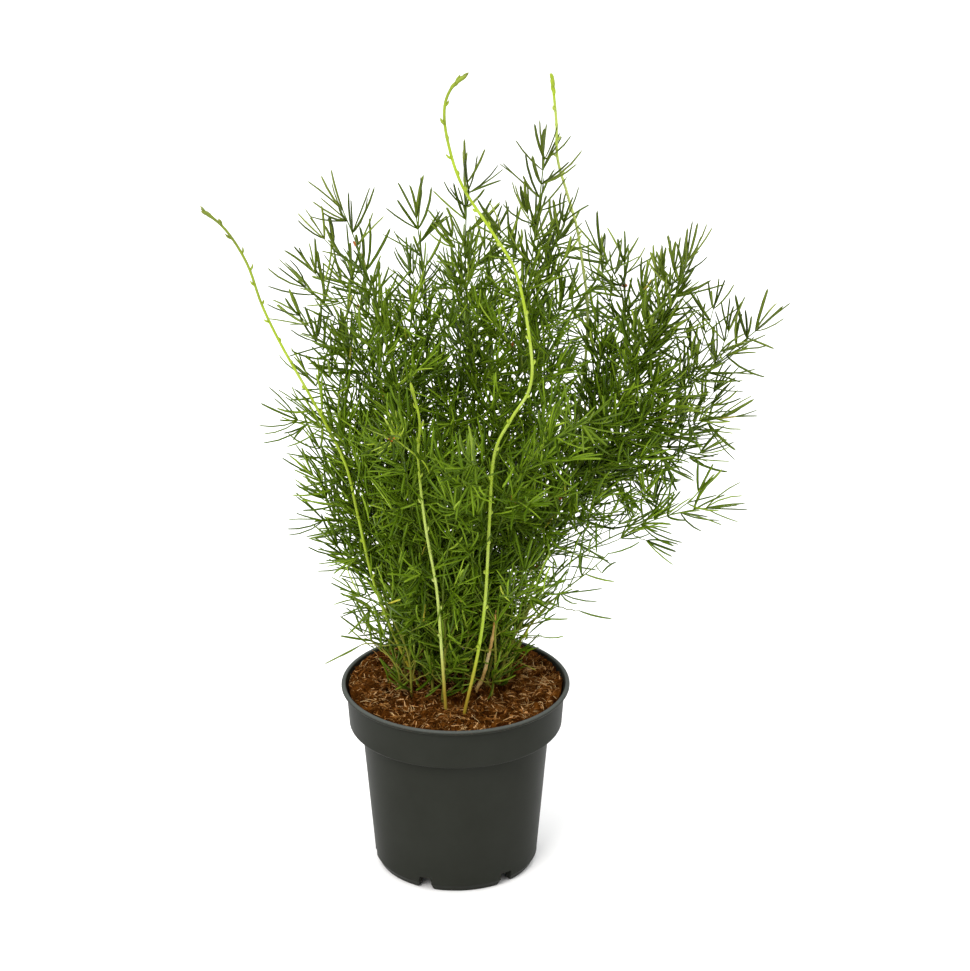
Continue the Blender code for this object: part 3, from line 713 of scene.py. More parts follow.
def twig_length(frond, share):
    """Twigs are longest a third of the way up the leafy stretch and shrink towards the tip."""
    up = (share - TWIG_FIRST) / (TWIG_LAST - TWIG_FIRST)
    return frond.side * min(0.55 + 1.5 * up, 1.08 - 0.72 * up)


def twig_line(stem, share, turn_by, length, angle):
    start, ahead = along(stem, share)
    lean = math.radians(angle)
    heading = ahead * math.cos(lean) + across(ahead, turn_by) * math.sin(lean)
    heading[2] += TWIG_LIFT
    return np.array((start, start + heading * length / np.linalg.norm(heading)))


def grow_twigs(frond, stem, owner, room, rng):
    """Every twig of the frond, each turned round the stem until it is clear of what grew before it."""
    leafy = (TWIG_LAST - TWIG_FIRST) * lengths(stem)[-1]
    count = int(leafy / TWIG_SPACING)
    twigs = []
    for i in range(count):
        share = TWIG_FIRST + (TWIG_LAST - TWIG_FIRST) * (i + 0.5) / count
        length = twig_length(frond, share) * rng.uniform(0.8, 1.12)
        turn_by = i * GOLDEN_ANGLE + rng.uniform(-0.3, 0.3)
        angle = TWIG_ANGLE + rng.uniform(-8.0, 8.0)
        for attempt in range(TWIG_TRIES):
            aside = 0.35 * ((attempt + 1) // 2) * (-1) ** attempt
            line = twig_line(stem, share, turn_by + aside, length, angle)
            if length > TWIG_SHORTEST and room.free(line, TWIG_BASE_RADIUS, owner):
                room.add(line, TWIG_BASE_RADIUS, owner)
                twigs.append(Twig(share, *line))
                break
            length *= 0.94
    return twigs


# %% Grow the whole plant's lines
SHOOT_EXTRA_STEPS = 3
SHOOT_SMOOTH = 6


def grow_plant():
    room = Room()
    shoots, stems, twigs = {}, {}, {}
    for index, shoot in enumerate((*SHOOTS, OLD_STALK)):
        (x, y), *upper = shoot.points
        points = ((x, y, soil_height(x, y) + STEM_RISE), *upper)
        shoots[shoot.name] = through(points, SHOOT_SMOOTH)
        room.add(thinned(through(points, 4), len(points) + SHOOT_EXTRA_STEPS), shoot.radius, 1000 + index)
    for index, frond in enumerate(FRONDS):
        stems[frond.name] = grow_stem(frond, index, room, random.Random(100 + index))
    for index, frond in enumerate(FRONDS):
        rng = random.Random(200 + index)
        twigs[frond.name] = grow_twigs(frond, stems[frond.name][0], index, room, rng)
    return shoots, stems, twigs


shoot_lines, stem_lines, twig_lines = grow_plant()
print("twigs:", sum(len(twigs) for twigs in twig_lines.values()))

# %% [markdown]
# ## Stamping small things
#
# The bush has over ten thousand needles, and the mix thousands of fibres. Modelling each one would take
# hours, and instances would be lost when the model is exported. So one pattern is made with bmesh operators,
# a unit long, and numpy copies its points to every place at once, stretched, turned and bent. Each copy
# keeps a few numbers as attributes, which the material turns into its own shade of green or brown.

# %% Patterns
def pattern_points(bm):
    """The pattern's points and triangles, from a bmesh that is then dropped."""
    bmesh.ops.triangulate(bm, faces=bm.faces)
    bmesh.ops.recalc_face_normals(bm, faces=bm.faces)
    bm.verts.index_update()
    points = np.array([vert.co[:] for vert in bm.verts])
    faces = np.array([[vert.index for vert in face.verts] for face in bm.faces])
    bm.free()
    return points, faces


def blade_pattern(sides, rings):
    """A closed blade up the Z axis. Each ring is (height, size), and the last one closes to a point."""
    bm = bmesh.new()
    bmesh.ops.create_circle(bm, cap_ends=True, segments=sides, radius=0.5 * rings[0][1])
    face = bm.faces[:][0]
    for (low, small), (high, size) in zip(rings, rings[1:]):
        face = bmesh.ops.extrude_discrete_faces(bm, faces=[face])["faces"][0]
        bmesh.ops.translate(bm, verts=face.verts, vec=(0, 0, high - low))
        bmesh.ops.scale(bm, verts=face.verts, vec=(size / small, size / small, 1.0))
    bmesh.ops.contextual_create(bm, geom=[edge for edge in bm.edges if edge.is_boundary])
    bmesh.ops.remove_doubles(bm, verts=bm.verts, dist=0.02)
    return pattern_points(bm)


NEEDLE_PATTERN = blade_pattern(3, ((0, 0.5), (0.12, 0.85), (0.36, 1), (0.68, 0.98), (0.92, 0.74), (1, 0.02)))
SCALE_PATTERN = blade_pattern(6, ((0, 0.7), (0.35, 1), (0.7, 0.7), (1, 0.02)))
FIBRE_PATTERN = blade_pattern(3, ((0, 0.5), (0.25, 1), (0.5, 1), (0.75, 0.9), (1, 0.3)))
SHRED_PATTERN = blade_pattern(4, ((0, 0.4), (0.3, 1), (0.7, 0.85), (1, 0.35)))
for pattern in (NEEDLE_PATTERN, SCALE_PATTERN, FIBRE_PATTERN, SHRED_PATTERN):
    print("points and triangles of a pattern:", len(pattern[0]), len(pattern[1]))


# %% Stamp copies and keep their numbers
def unit(vectors):
    return vectors / np.maximum(np.linalg.norm(vectors, axis=-1, keepdims=True), 1e-9)


def columns(rows):
    return tuple(np.array(column) for column in zip(*rows))


def stamped(pattern, roots, tips, sides, bows, widths, depths):
    """Points and triangles of all the copies. A bow moves a copy's middle, and its ends stay."""
    points, faces = pattern
    reach = tips - roots
    sides = unit(sides - unit(reach) * (sides * unit(reach)).sum(1, keepdims=True))
    uppers = np.cross(unit(reach), sides)
    rise = points[:, 2]
    bend = 4.0 * rise * (1.0 - rise)
    cloud = roots[:, None] + reach[:, None] * rise[None, :, None]
    cloud = cloud + (sides * widths[:, None])[:, None] * points[None, :, :1]
    cloud = cloud + (uppers * depths[:, None])[:, None] * points[None, :, 1:2]
    cloud = cloud + bows[:, None] * bend[None, :, None]
    offsets = np.arange(len(roots)) * len(points)
    triangles = faces[None] + offsets[:, None, None]
    return cloud.reshape(-1, 3), triangles.reshape(-1, 3)


def set_numbers(mesh, **numbers):
    """Keeps one number for each point under each name. A single value is for all the points."""
    for name, values in numbers.items():
        layer = mesh.attributes.new(name, "FLOAT", "POINT")
        layer.data.foreach_set("value", np.resize(values, len(mesh.vertices)).astype(np.float32))


def stamped_mesh(name, pattern, copies, tones, dry=0.0, shown_reach=1.0):
    """A mesh of stamped copies. tone is each copy's own shade, and reach runs from its root to its tip."""
    size = len(pattern[0])
    places, triangles = stamped(pattern, *copies)
    mesh = bpy.data.meshes.new(name)
    mesh.from_pydata(in_frame(places).tolist(), [], triangles.tolist())
    reach = np.tile(pattern[0][:, 2], len(tones)) * shown_reach
    dry = np.repeat(np.resize(dry, len(tones)), size)
    set_numbers(mesh, tone=np.repeat(tones, size), dry=dry, reach=reach, wood=0.0)
    return mesh


# %% Tubes and joining
def tube_mesh(name, lines, resolution=1):
    """Closed round tubes along (points, radii) lines in millimetres, all in one mesh."""
    curve = bpy.data.curves.new(name, "CURVE")
    curve.dimensions = "3D"
    curve.bevel_depth = MM
    curve.bevel_resolution = resolution
    curve.use_fill_caps = True
    for line, radii in lines:
        spline = curve.splines.new("POLY")
        spline.points.add(len(line) - 1)
        places = np.column_stack((in_frame(line), np.ones(len(line))))
        spline.points.foreach_set("co", places.ravel())
        spline.points.foreach_set("radius", np.asarray(radii, float))
    obj = new_object(name, curve)
    mesh = evaluated_mesh(obj)
    bpy.data.objects.remove(obj)
    return mesh


def joined(name, meshes):
    """One smooth mesh of several, with the points of loose caps merged."""
    bm = bmesh.new()
    for mesh in meshes:
        bm.from_mesh(mesh)
    bmesh.ops.remove_doubles(bm, verts=bm.verts, dist=0.002 * MM)
    whole = mesh_of(bm, name)
    whole.shade_smooth()
    return whole


# %% [markdown]
# ## The leafy fronds
#
# Under the needles a frond is a green stem no thicker than a match and wiry twigs. A twig gives off a bunch
# of three or four needles every seven millimetres or so, each bunch turned on from the last, and ends in a
# fan of four to six. The needles are flat, some twenty millimetres long and one to two wide. They lean
# forward along the twig and bend a little, and most of them turn up to the light.

# %% Needles on one twig
NEEDLE_LENGTH = 25.0
NEEDLE_WIDTH = 1.85
NEEDLE_DEPTH = 1.05
TWIG_NODES = (7.3, (3, 3, 3, 4))
STEM_NODES = (8.0, (4, 4, 5, 5))
FAN_SIZES = (4, 5, 5, 6)
BUSH_MIDDLE = (21.0, 8.0, 260.0)
# A lean is in degrees off the twig, a reach is a share of the needle's length, and a spread is in radians.
BUNCH_LEANS, BUNCH_REACH, BUNCH_SPREAD = (36.0, 68.0), (0.7, 1.1), 1.3
FAN_LEANS, FAN_REACH, FAN_SPREAD = (6.0, 46.0), (0.7, 0.95), 0.3
LOW_DOWN, LOW_REACH = 22.0, 0.75
NEEDLE_LIFT, NEEDLE_BOW, NEEDLE_SWAY = (-0.02, 0.3), (-0.03, 0.1), (-0.05, 0.05)
NEEDLE_ROLL, NEEDLE_WIDTHS = (0.6, 2.5), (0.62, 1.05)
OUTER_FROM, OUTER_RUN, OUTER_WIDER = 90.0, 80.0, 0.25
GREEN_TONES = (0.0, 0.85, 0.36)
YELLOW_SHARE, YELLOW_TONES, YELLOW_SIZE = 0.006, (0.93, 1.0), 0.5
RUST_SHARE, RUST_SCALES, RUST_LENGTHS, RUST_LEAN = 0.006, 4, (2.0, 3.4), math.radians(55)
LIP_CLEAR = 62.0
OPEN_BELOW = 146.0
OPEN_BEYOND = 47.0
OVER_LIP, OVER_MIX, BESIDE_LIP, BELOW_LIP = 1.5, 2.5, 2.0, 25.0
FLANK_LEFT, FLANK_RIGHT = (118.0, 1.15, 0.35), (152.0, 0.98, 0.12)
FLANK_REACH = (30.0, 98.0)


def flank(root):
    """How many of its leaves a low outer twig keeps: the flanks of the bush are nearly bare at the bottom."""
    foot, slope, leaves = FLANK_RIGHT if root[0] > 0.0 else FLANK_LEFT
    near, far = FLANK_REACH
    return leaves if near < abs(root[0]) < far and root[2] < foot + slope * abs(root[0]) else 1.0


def touches_pot(tip):
    """Whether a needle's tip would be in the mix, come down on the lip or hide the mix near it."""
    reach = math.hypot(tip[0], tip[1])
    if tip[2] > OPEN_BELOW:
        return False
    if tip[2] > POT_HEIGHT + OVER_LIP:
        return reach > OPEN_BEYOND
    if reach < LIP_CLEAR:
        return tip[2] < soil_height(tip[0], tip[1]) + OVER_MIX
    return reach < POT_RADIUS + BESIDE_LIP or tip[2] < POT_HEIGHT - BELOW_LIP


SPRIG_SHARE = 0.785
SPRIG_END = (-12.0, -9.0, 14.0)
FRONT_SHOOTS = ("shoot_left", "shoot_front", "shoot_short", "old_stalk")
FRONT_TILT = math.radians(29.0)
FRONT_GAP = 2.6
STRAY_SHARE = 0.12


def open_before_shoots(roots, tips):
    """Which needles leave the front of the shoots open. The shoots came up in front of the bush."""
    kept = np.ones(len(roots), bool)
    shares = np.linspace(0.0, 1.0, 6)[None, :, None]
    spots = roots[:, None] + (tips - roots)[:, None] * shares
    first = along(shoot_lines["shoot_short"], SPRIG_SHARE)[0]
    sprig_line = np.array([first + np.array(SPRIG_END) * share for share in np.linspace(0.0, 1.5, 12)])
    for line in (*(thinned(shoot_lines[name], 160) for name in FRONT_SHOOTS), sprig_line):
        line = line[line[:, 2] > POT_HEIGHT]
        beside = spots[:, :, None, 0] - line[None, None, :, 0]
        raised = spots[:, :, None, 2] - line[None, None, :, 2]
        nearer = line[None, None, :, 1] - spots[:, :, None, 1]
        aside = raised * math.cos(FRONT_TILT) - nearer * math.sin(FRONT_TILT)
        before = (np.hypot(beside, aside) < FRONT_GAP) & (nearer > -1.0)
        kept &= ~before.any(axis=(1, 2))
    return kept


class Needles:
    """The needles of one frond, with what each one needs to be stamped."""

    def __init__(self, rng, leafiness=1.0):
        self.rng = rng
        self.leafiness = leafiness
        self.rows = []

    def add(self, root, ahead, outward, lean, length, dry=0.0):
        rng = self.rng
        tone = self.shade()
        if tone >= YELLOW_TONES[0]:
            length *= YELLOW_SIZE
        heading = ahead * math.cos(lean) + outward * math.sin(lean)
        heading[2] += rng.uniform(*NEEDLE_LIFT)
        heading /= np.linalg.norm(heading)
        tip = root + heading * length
        if touches_pot(tip):
            return
        back = outward * math.cos(lean) - ahead * math.sin(lean)
        bow = back * length * rng.uniform(*NEEDLE_BOW)
        bow = bow + np.cross(heading, back) * length * rng.uniform(*NEEDLE_SWAY)
        roll = across(heading, rng.uniform(*NEEDLE_ROLL))
        outer = min(max((math.dist(root, BUSH_MIDDLE) - OUTER_FROM) / OUTER_RUN, 0.0), 1.0)
        width = NEEDLE_WIDTH * rng.uniform(*NEEDLE_WIDTHS) * (1.0 + OUTER_WIDER * outer)
        self.rows.append((root, tip, roll, bow, width, NEEDLE_DEPTH, tone, dry))

    def shade(self):
        """Mostly middling greens, with a few needles that have turned yellow."""
        if self.rng.random() < YELLOW_SHARE:
            return self.rng.uniform(*YELLOW_TONES)
        return self.rng.triangular(*GREEN_TONES)

    def bunch(self, root, ahead, turn_by, count, leans, reach, spread):
        for k in range(count):
            outward = across(ahead, turn_by + self.rng.uniform(-spread, spread))
            lean = math.radians(self.rng.uniform(*leans))
            self.add(root, ahead, outward, lean, NEEDLE_LENGTH * self.rng.uniform(*reach))

    def rust(self, root, ahead):
        """A tiny dried bud: a few curled orange scales."""
        for k in range(RUST_SCALES):
            outward = across(ahead, k * 1.6 + self.rng.uniform(0, 1))
            self.add(root, ahead, outward, RUST_LEAN, self.rng.uniform(*RUST_LENGTHS), 1.0)

    def copies(self):
        """What stamping needs, less the needles in front of the shoots but for a few strays."""
        rows = columns(self.rows)
        strays = np.array([self.rng.random() for _ in self.rows]) < STRAY_SHARE
        kept = open_before_shoots(*rows[:2]) | strays
        *copies, tones, dry = (column[kept] for column in rows)
        return copies, tones, dry


def leafy_stretch(needles, line, first, nodes, size=1.0):
    """Bunches along a line from its first share on, and a fan at its tip."""
    rng = needles.rng
    spacing, sizes = nodes
    total = lengths(line)[-1]
    count = max(int(total * (1.0 - first) / spacing), 1)
    phase = rng.uniform(0, math.tau)
    for i in range(count):
        share = first + (1.0 - first) * i / count
        root, ahead = along(line, share)
        turn_by = phase + i * GOLDEN_ANGLE
        if rng.random() > needles.leafiness * flank(root):
            continue
        low = LOW_REACH if root[2] < POT_HEIGHT + LOW_DOWN else 1.0
        reach = [share_of * size * low for share_of in BUNCH_REACH]
        needles.bunch(root, ahead, turn_by, rng.choice(sizes), BUNCH_LEANS, reach, BUNCH_SPREAD)
        if rng.random() < RUST_SHARE:
            needles.rust(root, ahead)
    root, ahead = along(line, FAN_FROM)
    kept = flank(root)
    reach = [share_of * size for share_of in FAN_REACH]
    for k in range(rng.choice(FAN_SIZES) if kept == 1.0 else round(max(FAN_SIZES) * kept)):
        needles.bunch(root, ahead, phase + k * GOLDEN_ANGLE, 1, FAN_LEANS, reach, FAN_SPREAD)


# %% Twigs as they bend
TWIG_STEPS = 7
TWIG_SAG = 0.05
TWIG_ZIGZAG = 0.35
TWIG_RADII = (0.42, 0.26)
STEM_RADII = (0.95, 0.36)
NEEDLES_FROM = 0.14
FAN_FROM = 0.995
LOW_TWIGS = 6
LOW_TWIG_SHARES = (0.02, 0.18)
LOW_TWIG_LENGTHS = (8.0, 28.0)
LOW_TWIG_ANGLES = (35.0, 70.0)
SIDE_TWIG_CHANCE = 0.6
SIDE_TWIG_SHARES = (0.15, 0.5)
SIDE_TWIG_SIZES = (0.35, 0.6)
SIDE_TWIG_ANGLES = (35.0, 60.0)
SIDE_TWIG_SHORTEST = 9.0


def bent_twig(stem, twig, rng):
    """The twig's straight line as a soft arc with a slight zigzag, from the smooth stem to the same tip."""
    start = along(stem, twig.share)[0]
    reach = twig.end - start
    share = np.linspace(0.0, 1.0, TWIG_STEPS + 1)
    line = start + reach * share[:, None]
    line[:, 2] -= 4.0 * TWIG_SAG * np.linalg.norm(reach) * share * (1.0 - share)
    zigzag = across(unit(reach), rng.uniform(0, math.tau)) * TWIG_ZIGZAG
    line[1:-1] += zigzag * np.array([(-1) ** k for k in range(TWIG_STEPS - 1)])[:, None]
    return line


def low_twigs(stem, rng):
    """Short twigs near the mix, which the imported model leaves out."""
    twigs = []
    phase = rng.uniform(0, math.tau)
    for k in range(LOW_TWIGS):
        share = rng.uniform(*LOW_TWIG_SHARES)
        length = rng.uniform(*LOW_TWIG_LENGTHS)
        line = twig_line(stem, share, phase + k * GOLDEN_ANGLE, length, rng.uniform(*LOW_TWIG_ANGLES))
        if not touches_pot(line[1]):
            twigs.append(Twig(share, *line))
    return twigs


# %% Where the bush is thin and where it is full
LEAFINESS = {
    "upper_left": 0.88, "left_foot": 0.7, "right_foot": 0.68, "front_low_right": 0.6,
    "back_low_right": 0.6, "front_low_left": 0.85, "right_low": 0.75, "top_left": 0.85,
}
SPRAY_FAN = 14.0
# Thin twigs that only the picture shows: where along its stem each starts, and its end in mm.
SPRAYS = {
    "left": (
        (0.78, (-95, -20, 315)), (0.68, (-85, -15, 315)), (0.56, (-95, -15, 270)), (0.50, (-85, -15, 280)),
        (0.46, (-75, -10, 265)), (0.62, (-90, -5, 285)), (0.52, (-90, 0, 260)),
    ),
    "left_high": (
        (0.66, (-90, 5, 350)), (0.55, (-95, -5, 330)), (0.48, (-80, 0, 330)), (0.42, (-75, 0, 310)),
        (0.74, (-100, 5, 365)),
    ),
    "left_low": ((0.60, (-80, 0, 210)), (0.50, (-80, 0, 220)), (0.72, (-85, 5, 250))),
    "upper_left": ((0.72, (-90, -5, 395)), (0.86, (-85, -5, 415))),
    "top_left": ((0.78, (-30, 10, 390)), (0.60, (-25, 5, 370)), (0.50, (-30, 0, 355))),
    "crown_left": (
        (0.82, (-5, 5, 415)), (0.68, (30, 0, 395)), (0.60, (15, -5, 375)), (0.56, (35, 5, 365)),
        (0.50, (35, 0, 345)), (0.40, (15, -5, 300)),
    ),
    "crown": (
        (0.84, (40, -10, 435)), (0.76, (70, 5, 425)), (0.70, (70, -10, 405)), (0.66, (60, -5, 390)),
        (0.60, (60, -20, 370)), (0.58, (70, 0, 380)), (0.50, (75, -15, 335)), (0.54, (65, -20, 355)),
        (0.46, (70, -10, 320)),
    ),
    "right_high": (
        (0.84, (100, 25, 395)), (0.74, (115, 15, 380)), (0.60, (85, 0, 365)), (0.52, (90, 0, 350)),
    ),
    "right_top": (
        (0.86, (130, -5, 400)), (0.80, (120, 0, 395)), (0.70, (130, -5, 390)), (0.56, (115, -25, 375)),
        (0.52, (125, -20, 330)), (0.66, (130, -10, 365)), (0.44, (125, -10, 310)),
    ),
    "far_right": ((0.80, (155, -5, 375)), (0.60, (130, -15, 330)), (0.88, (165, -5, 360))),
    "right": (
        (0.84, (165, 20, 310)), (0.66, (165, 20, 300)), (0.60, (160, 10, 270)), (0.58, (130, 5, 320)),
        (0.50, (130, 0, 300)),
    ),
    "right_low": ((0.72, (120, -10, 260)), (0.88, (155, -15, 260)), (0.58, (100, -10, 245))),
    "right_foot": ((0.78, (90, -40, 235)), (0.70, (80, -40, 235)), (0.90, (95, -45, 200))),
}


def spray_twigs(frond, stem):
    """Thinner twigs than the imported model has, out to where the bush looks full."""
    twigs = []
    for share, end in SPRAYS.get(frond.name, ()):
        start, end = along(stem, share)[0], np.array(end, float)
        twigs.append(Twig(share, start, end - unit(end - start) * SPRAY_FAN))
    return twigs


def side_twig(line, rng, chance):
    """A twig on a twig, or nothing."""
    length = lengths(line)[-1] * rng.uniform(*SIDE_TWIG_SIZES)
    share, turn_by = rng.uniform(*SIDE_TWIG_SHARES), rng.uniform(0, math.tau)
    angle = rng.uniform(*SIDE_TWIG_ANGLES)
    if rng.random() > chance or length < SIDE_TWIG_SHORTEST:
        return None
    return thinned(twig_line(line, share, turn_by, length, angle), 4)


def stem_radii(line):
    share = lengths(line) / lengths(line)[-1]
    return STEM_RADII[0] + (STEM_RADII[1] - STEM_RADII[0]) * share**0.8


def frond_mesh(frond, stem, twigs, rng):
    """The whole frond: its stem and twigs as tubes, and all its needles."""
    needles = Needles(rng, LEAFINESS.get(frond.name, 1.0))
    whole_stem = rooted(stem, *frond.base)
    tubes = [(whole_stem, stem_radii(whole_stem))]
    sprays = spray_twigs(frond, stem)
    for twig in (*twigs, *low_twigs(stem, rng), *sprays):
        line = bent_twig(stem, twig, rng)
        tubes.append((line, np.linspace(*TWIG_RADII, len(line))))
        leafy_stretch(needles, line, NEEDLES_FROM, TWIG_NODES)
        side = side_twig(line, rng, SIDE_TWIG_CHANCE * needles.leafiness)
        if side is not None and not any(twig is spray for spray in sprays):
            tubes.append((side, np.full(len(side), TWIG_RADII[1])))
            leafy_stretch(needles, side, NEEDLES_FROM, TWIG_NODES, 0.9)
    leafy_stretch(needles, stem, 0.01, STEM_NODES, 1.15)
    wood = tube_mesh(frond.name, tubes)
    set_numbers(wood, tone=0.4, dry=0.0, reach=0.0, wood=1.0)
    copies, tones, dry = needles.copies()
    blades = stamped_mesh("needles", NEEDLE_PATTERN, copies, tones, dry)
    return joined(frond.name + "_spray", (wood, blades)), len(tones)


# %% [markdown]
# The green runs from a deep bottle green through grass green to the odd yellow needle. A ramp reads each
# needle's own tone, so neighbours differ as they do on a plant. The wood of the stems is duller and turns
# to olive near the mix, and the tiny dried buds are rust. Needles far out from the bush's middle are painted
# darker and greyer: a painted shade.

# %% Frond green
GREEN_STOPS = (
    (0.0, (0.028, 0.058, 0.0006)),
    (0.35, (0.078, 0.143, 0.0016)),
    (0.7, (0.190, 0.300, 0.013)),
    (0.88, (0.340, 0.460, 0.045)),
    (1.0, (0.520, 0.460, 0.045)),
)
# Needles far from the bush's middle are multiplied by this, which paints them darker and greyer: a painted
# shade.
OUTER_PAINTED_SHADE = (0.84, 0.68, 2.2)
OUTER_SHADE_DISTANCES = (0.10, 0.19)
STEM_GREEN = (0.095, 0.150, 0.012)
STEM_OLIVE = (0.270, 0.260, 0.035)
OLIVE_HEIGHTS = (0.13, 0.20)
RUST = (0.400, 0.120, 0.020)
LEAF_SHINE = 0.14


def build_green():
    look, tree = new_look("needle_green", 0.42, LEAF_SHINE)
    tone, wood, dry = (
        number(tree, (-900, y), name) for name, y in (("tone", 300), ("wood", 120), ("dry", -60))
    )
    patches, specks = mottled(tree, (-900, -450), 14.0, 260.0)
    drift = remap(tree, (-650, -450), patches, target=(-0.1, 0.1))
    greens = ramp(tree, (-350, 300), added(tree, (-500, 250), tone, drift), GREEN_STOPS)
    ends = {0: object_place(tree, (-900, -850)), 1: in_frame(BUSH_MIDDLE)}
    away = wire(tree, "VectorMath", (-700, -850), ends, "Value", operation="DISTANCE")
    outer = remap(tree, (-500, -850), away, OUTER_SHADE_DISTANCES)
    # Painted shade: the needles far out from the bush's middle are darkened and greyed.
    shaded_greens = blend(tree, (-100, 350), outer, greens, OUTER_PAINTED_SHADE, "MULTIPLY")
    low = remap(tree, (-500, -600), object_height(tree, (-900, -650)), OLIVE_HEIGHTS, (1.0, 0.0))
    bark = blend(tree, (-250, -300), low, STEM_GREEN, STEM_OLIVE)
    body = blend(tree, (0, 150), wood, shaded_greens, bark)
    gloss = remap(tree, (250, -150), specks, target=(0.36, 0.5))
    set_shader(tree, {"Base Color": blend(tree, (250, 100), dry, body, RUST), "Roughness": gloss})
    return look


GREEN = build_green()
print("looks:", len(bpy.data.materials))

# %% Make the fronds
needle_total, frond_triangles = 0, []
for index, frond in enumerate(FRONDS):
    fine_stem = stem_lines[frond.name][1]
    mesh, count = frond_mesh(frond, fine_stem, twig_lines[frond.name], random.Random(500 + index))
    frond_triangles.append(add_piece(mesh.name, mesh, GREEN, "frond_" + frond.name))
    needle_total += count
print("needles:", needle_total, "triangles:", sum(frond_triangles), "largest frond:", max(frond_triangles))

# %% [markdown]
# ## The young shoots
#
# An asparagus shoot is bare at first: a smooth pale stem, a small papery scale at each node, and a tight
# pointed head of overlapping scales. The stem is a tube that thins upwards, and the scales are stamped on it
# so that they lie close, with their points up.

# %% Shoots
SCALE_SPACING = (8.0, 26.0)
SCALE_LENGTH = 5.2
SCALE_WIDTH = 2.9
SCALE_DEPTH = 1.7
HEAD_REACH = 14.0
HEAD_SPACING = 2.4
HEAD_SWELL = 0.7
HEAD_MIDDLE = 5.0
HEAD_LEANS, STEM_LEANS = (6.0, 14.0), (18.0, 34.0)
FIRST_SCALE = 26.0
YOUNG_SCALES = 120.0


def skin_tone(shoot, heights):
    """The shoot's tone at these heights. Its youngest length is darker."""
    left = shoot.points[-1][2] - np.asarray(heights)
    return shoot.tone - YOUNG_DARK * np.clip(1.0 - left / YOUNG_REACH, 0.0, 1.0)


def drawn_radius(shoot, share):
    foot, tip = shoot.drawn
    return foot + (tip - foot) * share


def shoot_scales(shoot, line, rng):
    """Scales up the shoot, nearer together towards the head, and the pointed head itself."""
    total = lengths(line)[-1]
    where, rows = FIRST_SCALE, []
    while where < total - 2.0:
        share = where / total
        root, ahead = along(line, share)
        in_head = total - where < HEAD_REACH
        turn_by = len(rows) * GOLDEN_ANGLE + rng.uniform(-0.2, 0.2)
        outward = across(ahead, turn_by)
        lean = math.radians(rng.uniform(*(HEAD_LEANS if in_head else STEM_LEANS)))
        heading = ahead * math.cos(lean) + outward * math.sin(lean)
        young = min(max(1.0 - (total - where) / YOUNG_SCALES, 0.0), 1.0)
        length = SCALE_LENGTH * rng.uniform(0.85, 1.15) * (0.6 + 0.4 * young)
        thick = drawn_radius(shoot, share)
        foot = root + outward * thick * 0.45
        side = np.cross(ahead, outward)
        bow = outward * (0.1 if in_head else 0.45)
        rows.append((foot, foot + heading * length, side, bow, SCALE_WIDTH * thick, SCALE_DEPTH * thick))
        wide = SCALE_SPACING[1] + (SCALE_SPACING[0] - SCALE_SPACING[1]) * share
        where += HEAD_SPACING if in_head else wide * rng.uniform(0.8, 1.2)
    return columns(rows)


def shoot_radii(shoot, line):
    """Thin towards the tip, swollen in the head, and drawn to a point in the last few millimetres."""
    runs = lengths(line)
    radii = drawn_radius(shoot, runs / runs[-1])
    left = runs[-1] - runs
    swell = 1.0 + HEAD_SWELL * np.exp(-(((left - HEAD_MIDDLE) / 3.0) ** 2))
    return radii * swell * np.clip((left + 0.5) / 4.0, 0.1, 1.0)


# %% A first side twig
SPRIG_NEEDLES = 11
SPRIG_RADII = (0.6, 0.4)
SPRIG_LOW_NEEDLE = (6.5, -3.0, -9.5)


def sprig(line, rng):
    """The short shoot's one side twig, which has just opened its first needles."""
    start, ahead = along(line, SPRIG_SHARE)
    end = start + np.array(SPRIG_END)
    heading = unit(end - start)
    twig = np.array([start + (end - start) * share for share in np.linspace(0.0, 1.0, 5)])
    rows = []
    for k in range(SPRIG_NEEDLES):
        lean = math.radians(rng.uniform(25.0, 85.0))
        outward = across(heading, k * GOLDEN_ANGLE)
        tip = end + (heading * math.cos(lean) + outward * math.sin(lean)) * rng.uniform(14.0, 20.0)
        rows.append((end, tip, across(unit(tip - end), rng.uniform(0, math.tau)), outward * 0.8, 1.5, 0.9))
    low = start + np.array(SPRIG_LOW_NEEDLE)
    rows.append((start, low, np.array((0.0, 1.0, 0.0)), np.array((1.0, 0.0, 0.5)), 1.5, 0.9))
    return twig, columns(rows)


def shoot_mesh(shoot, line, rng):
    whole = rooted(line, *shoot.points[0])
    tubes = [(whole, shoot_radii(shoot, whole))]
    copies = shoot_scales(shoot, line, rng)
    parts = [stamped_mesh("scales", SCALE_PATTERN, copies, skin_tone(shoot, copies[0][:, 2]))]
    if shoot.name == "shoot_short":
        twig, needles = sprig(line, rng)
        tubes.append((twig, np.linspace(*SPRIG_RADII, len(twig))))
        tones = np.full(len(needles[0]), 0.6)
        parts.append(stamped_mesh("needles", NEEDLE_PATTERN, needles, tones, shown_reach=0.0))
    wood = tube_mesh(shoot.name, tubes, 2)
    heights = [vert.co.z / MM for vert in wood.vertices]
    set_numbers(wood, tone=skin_tone(shoot, heights), dry=0.0, reach=0.0, wood=1.0)
    return joined(shoot.name.replace("shoot_", "") + "_shoot", (wood, *parts))


# %% Shoot finish
SHOOT_STOPS = ((0.0, (0.140, 0.180, 0.022)), (0.5, (0.310, 0.420, 0.022)), (1.0, (0.520, 0.600, 0.190)))
YOUNG_REACH = 80.0
YOUNG_DARK = 0.5
SHOOT_FOOT = (0.330, 0.215, 0.020)
FOOT_HEIGHTS = (0.13, 0.165)
SCALE_TAN = (0.210, 0.200, 0.030)
SHOOT_SHINE = 0.2


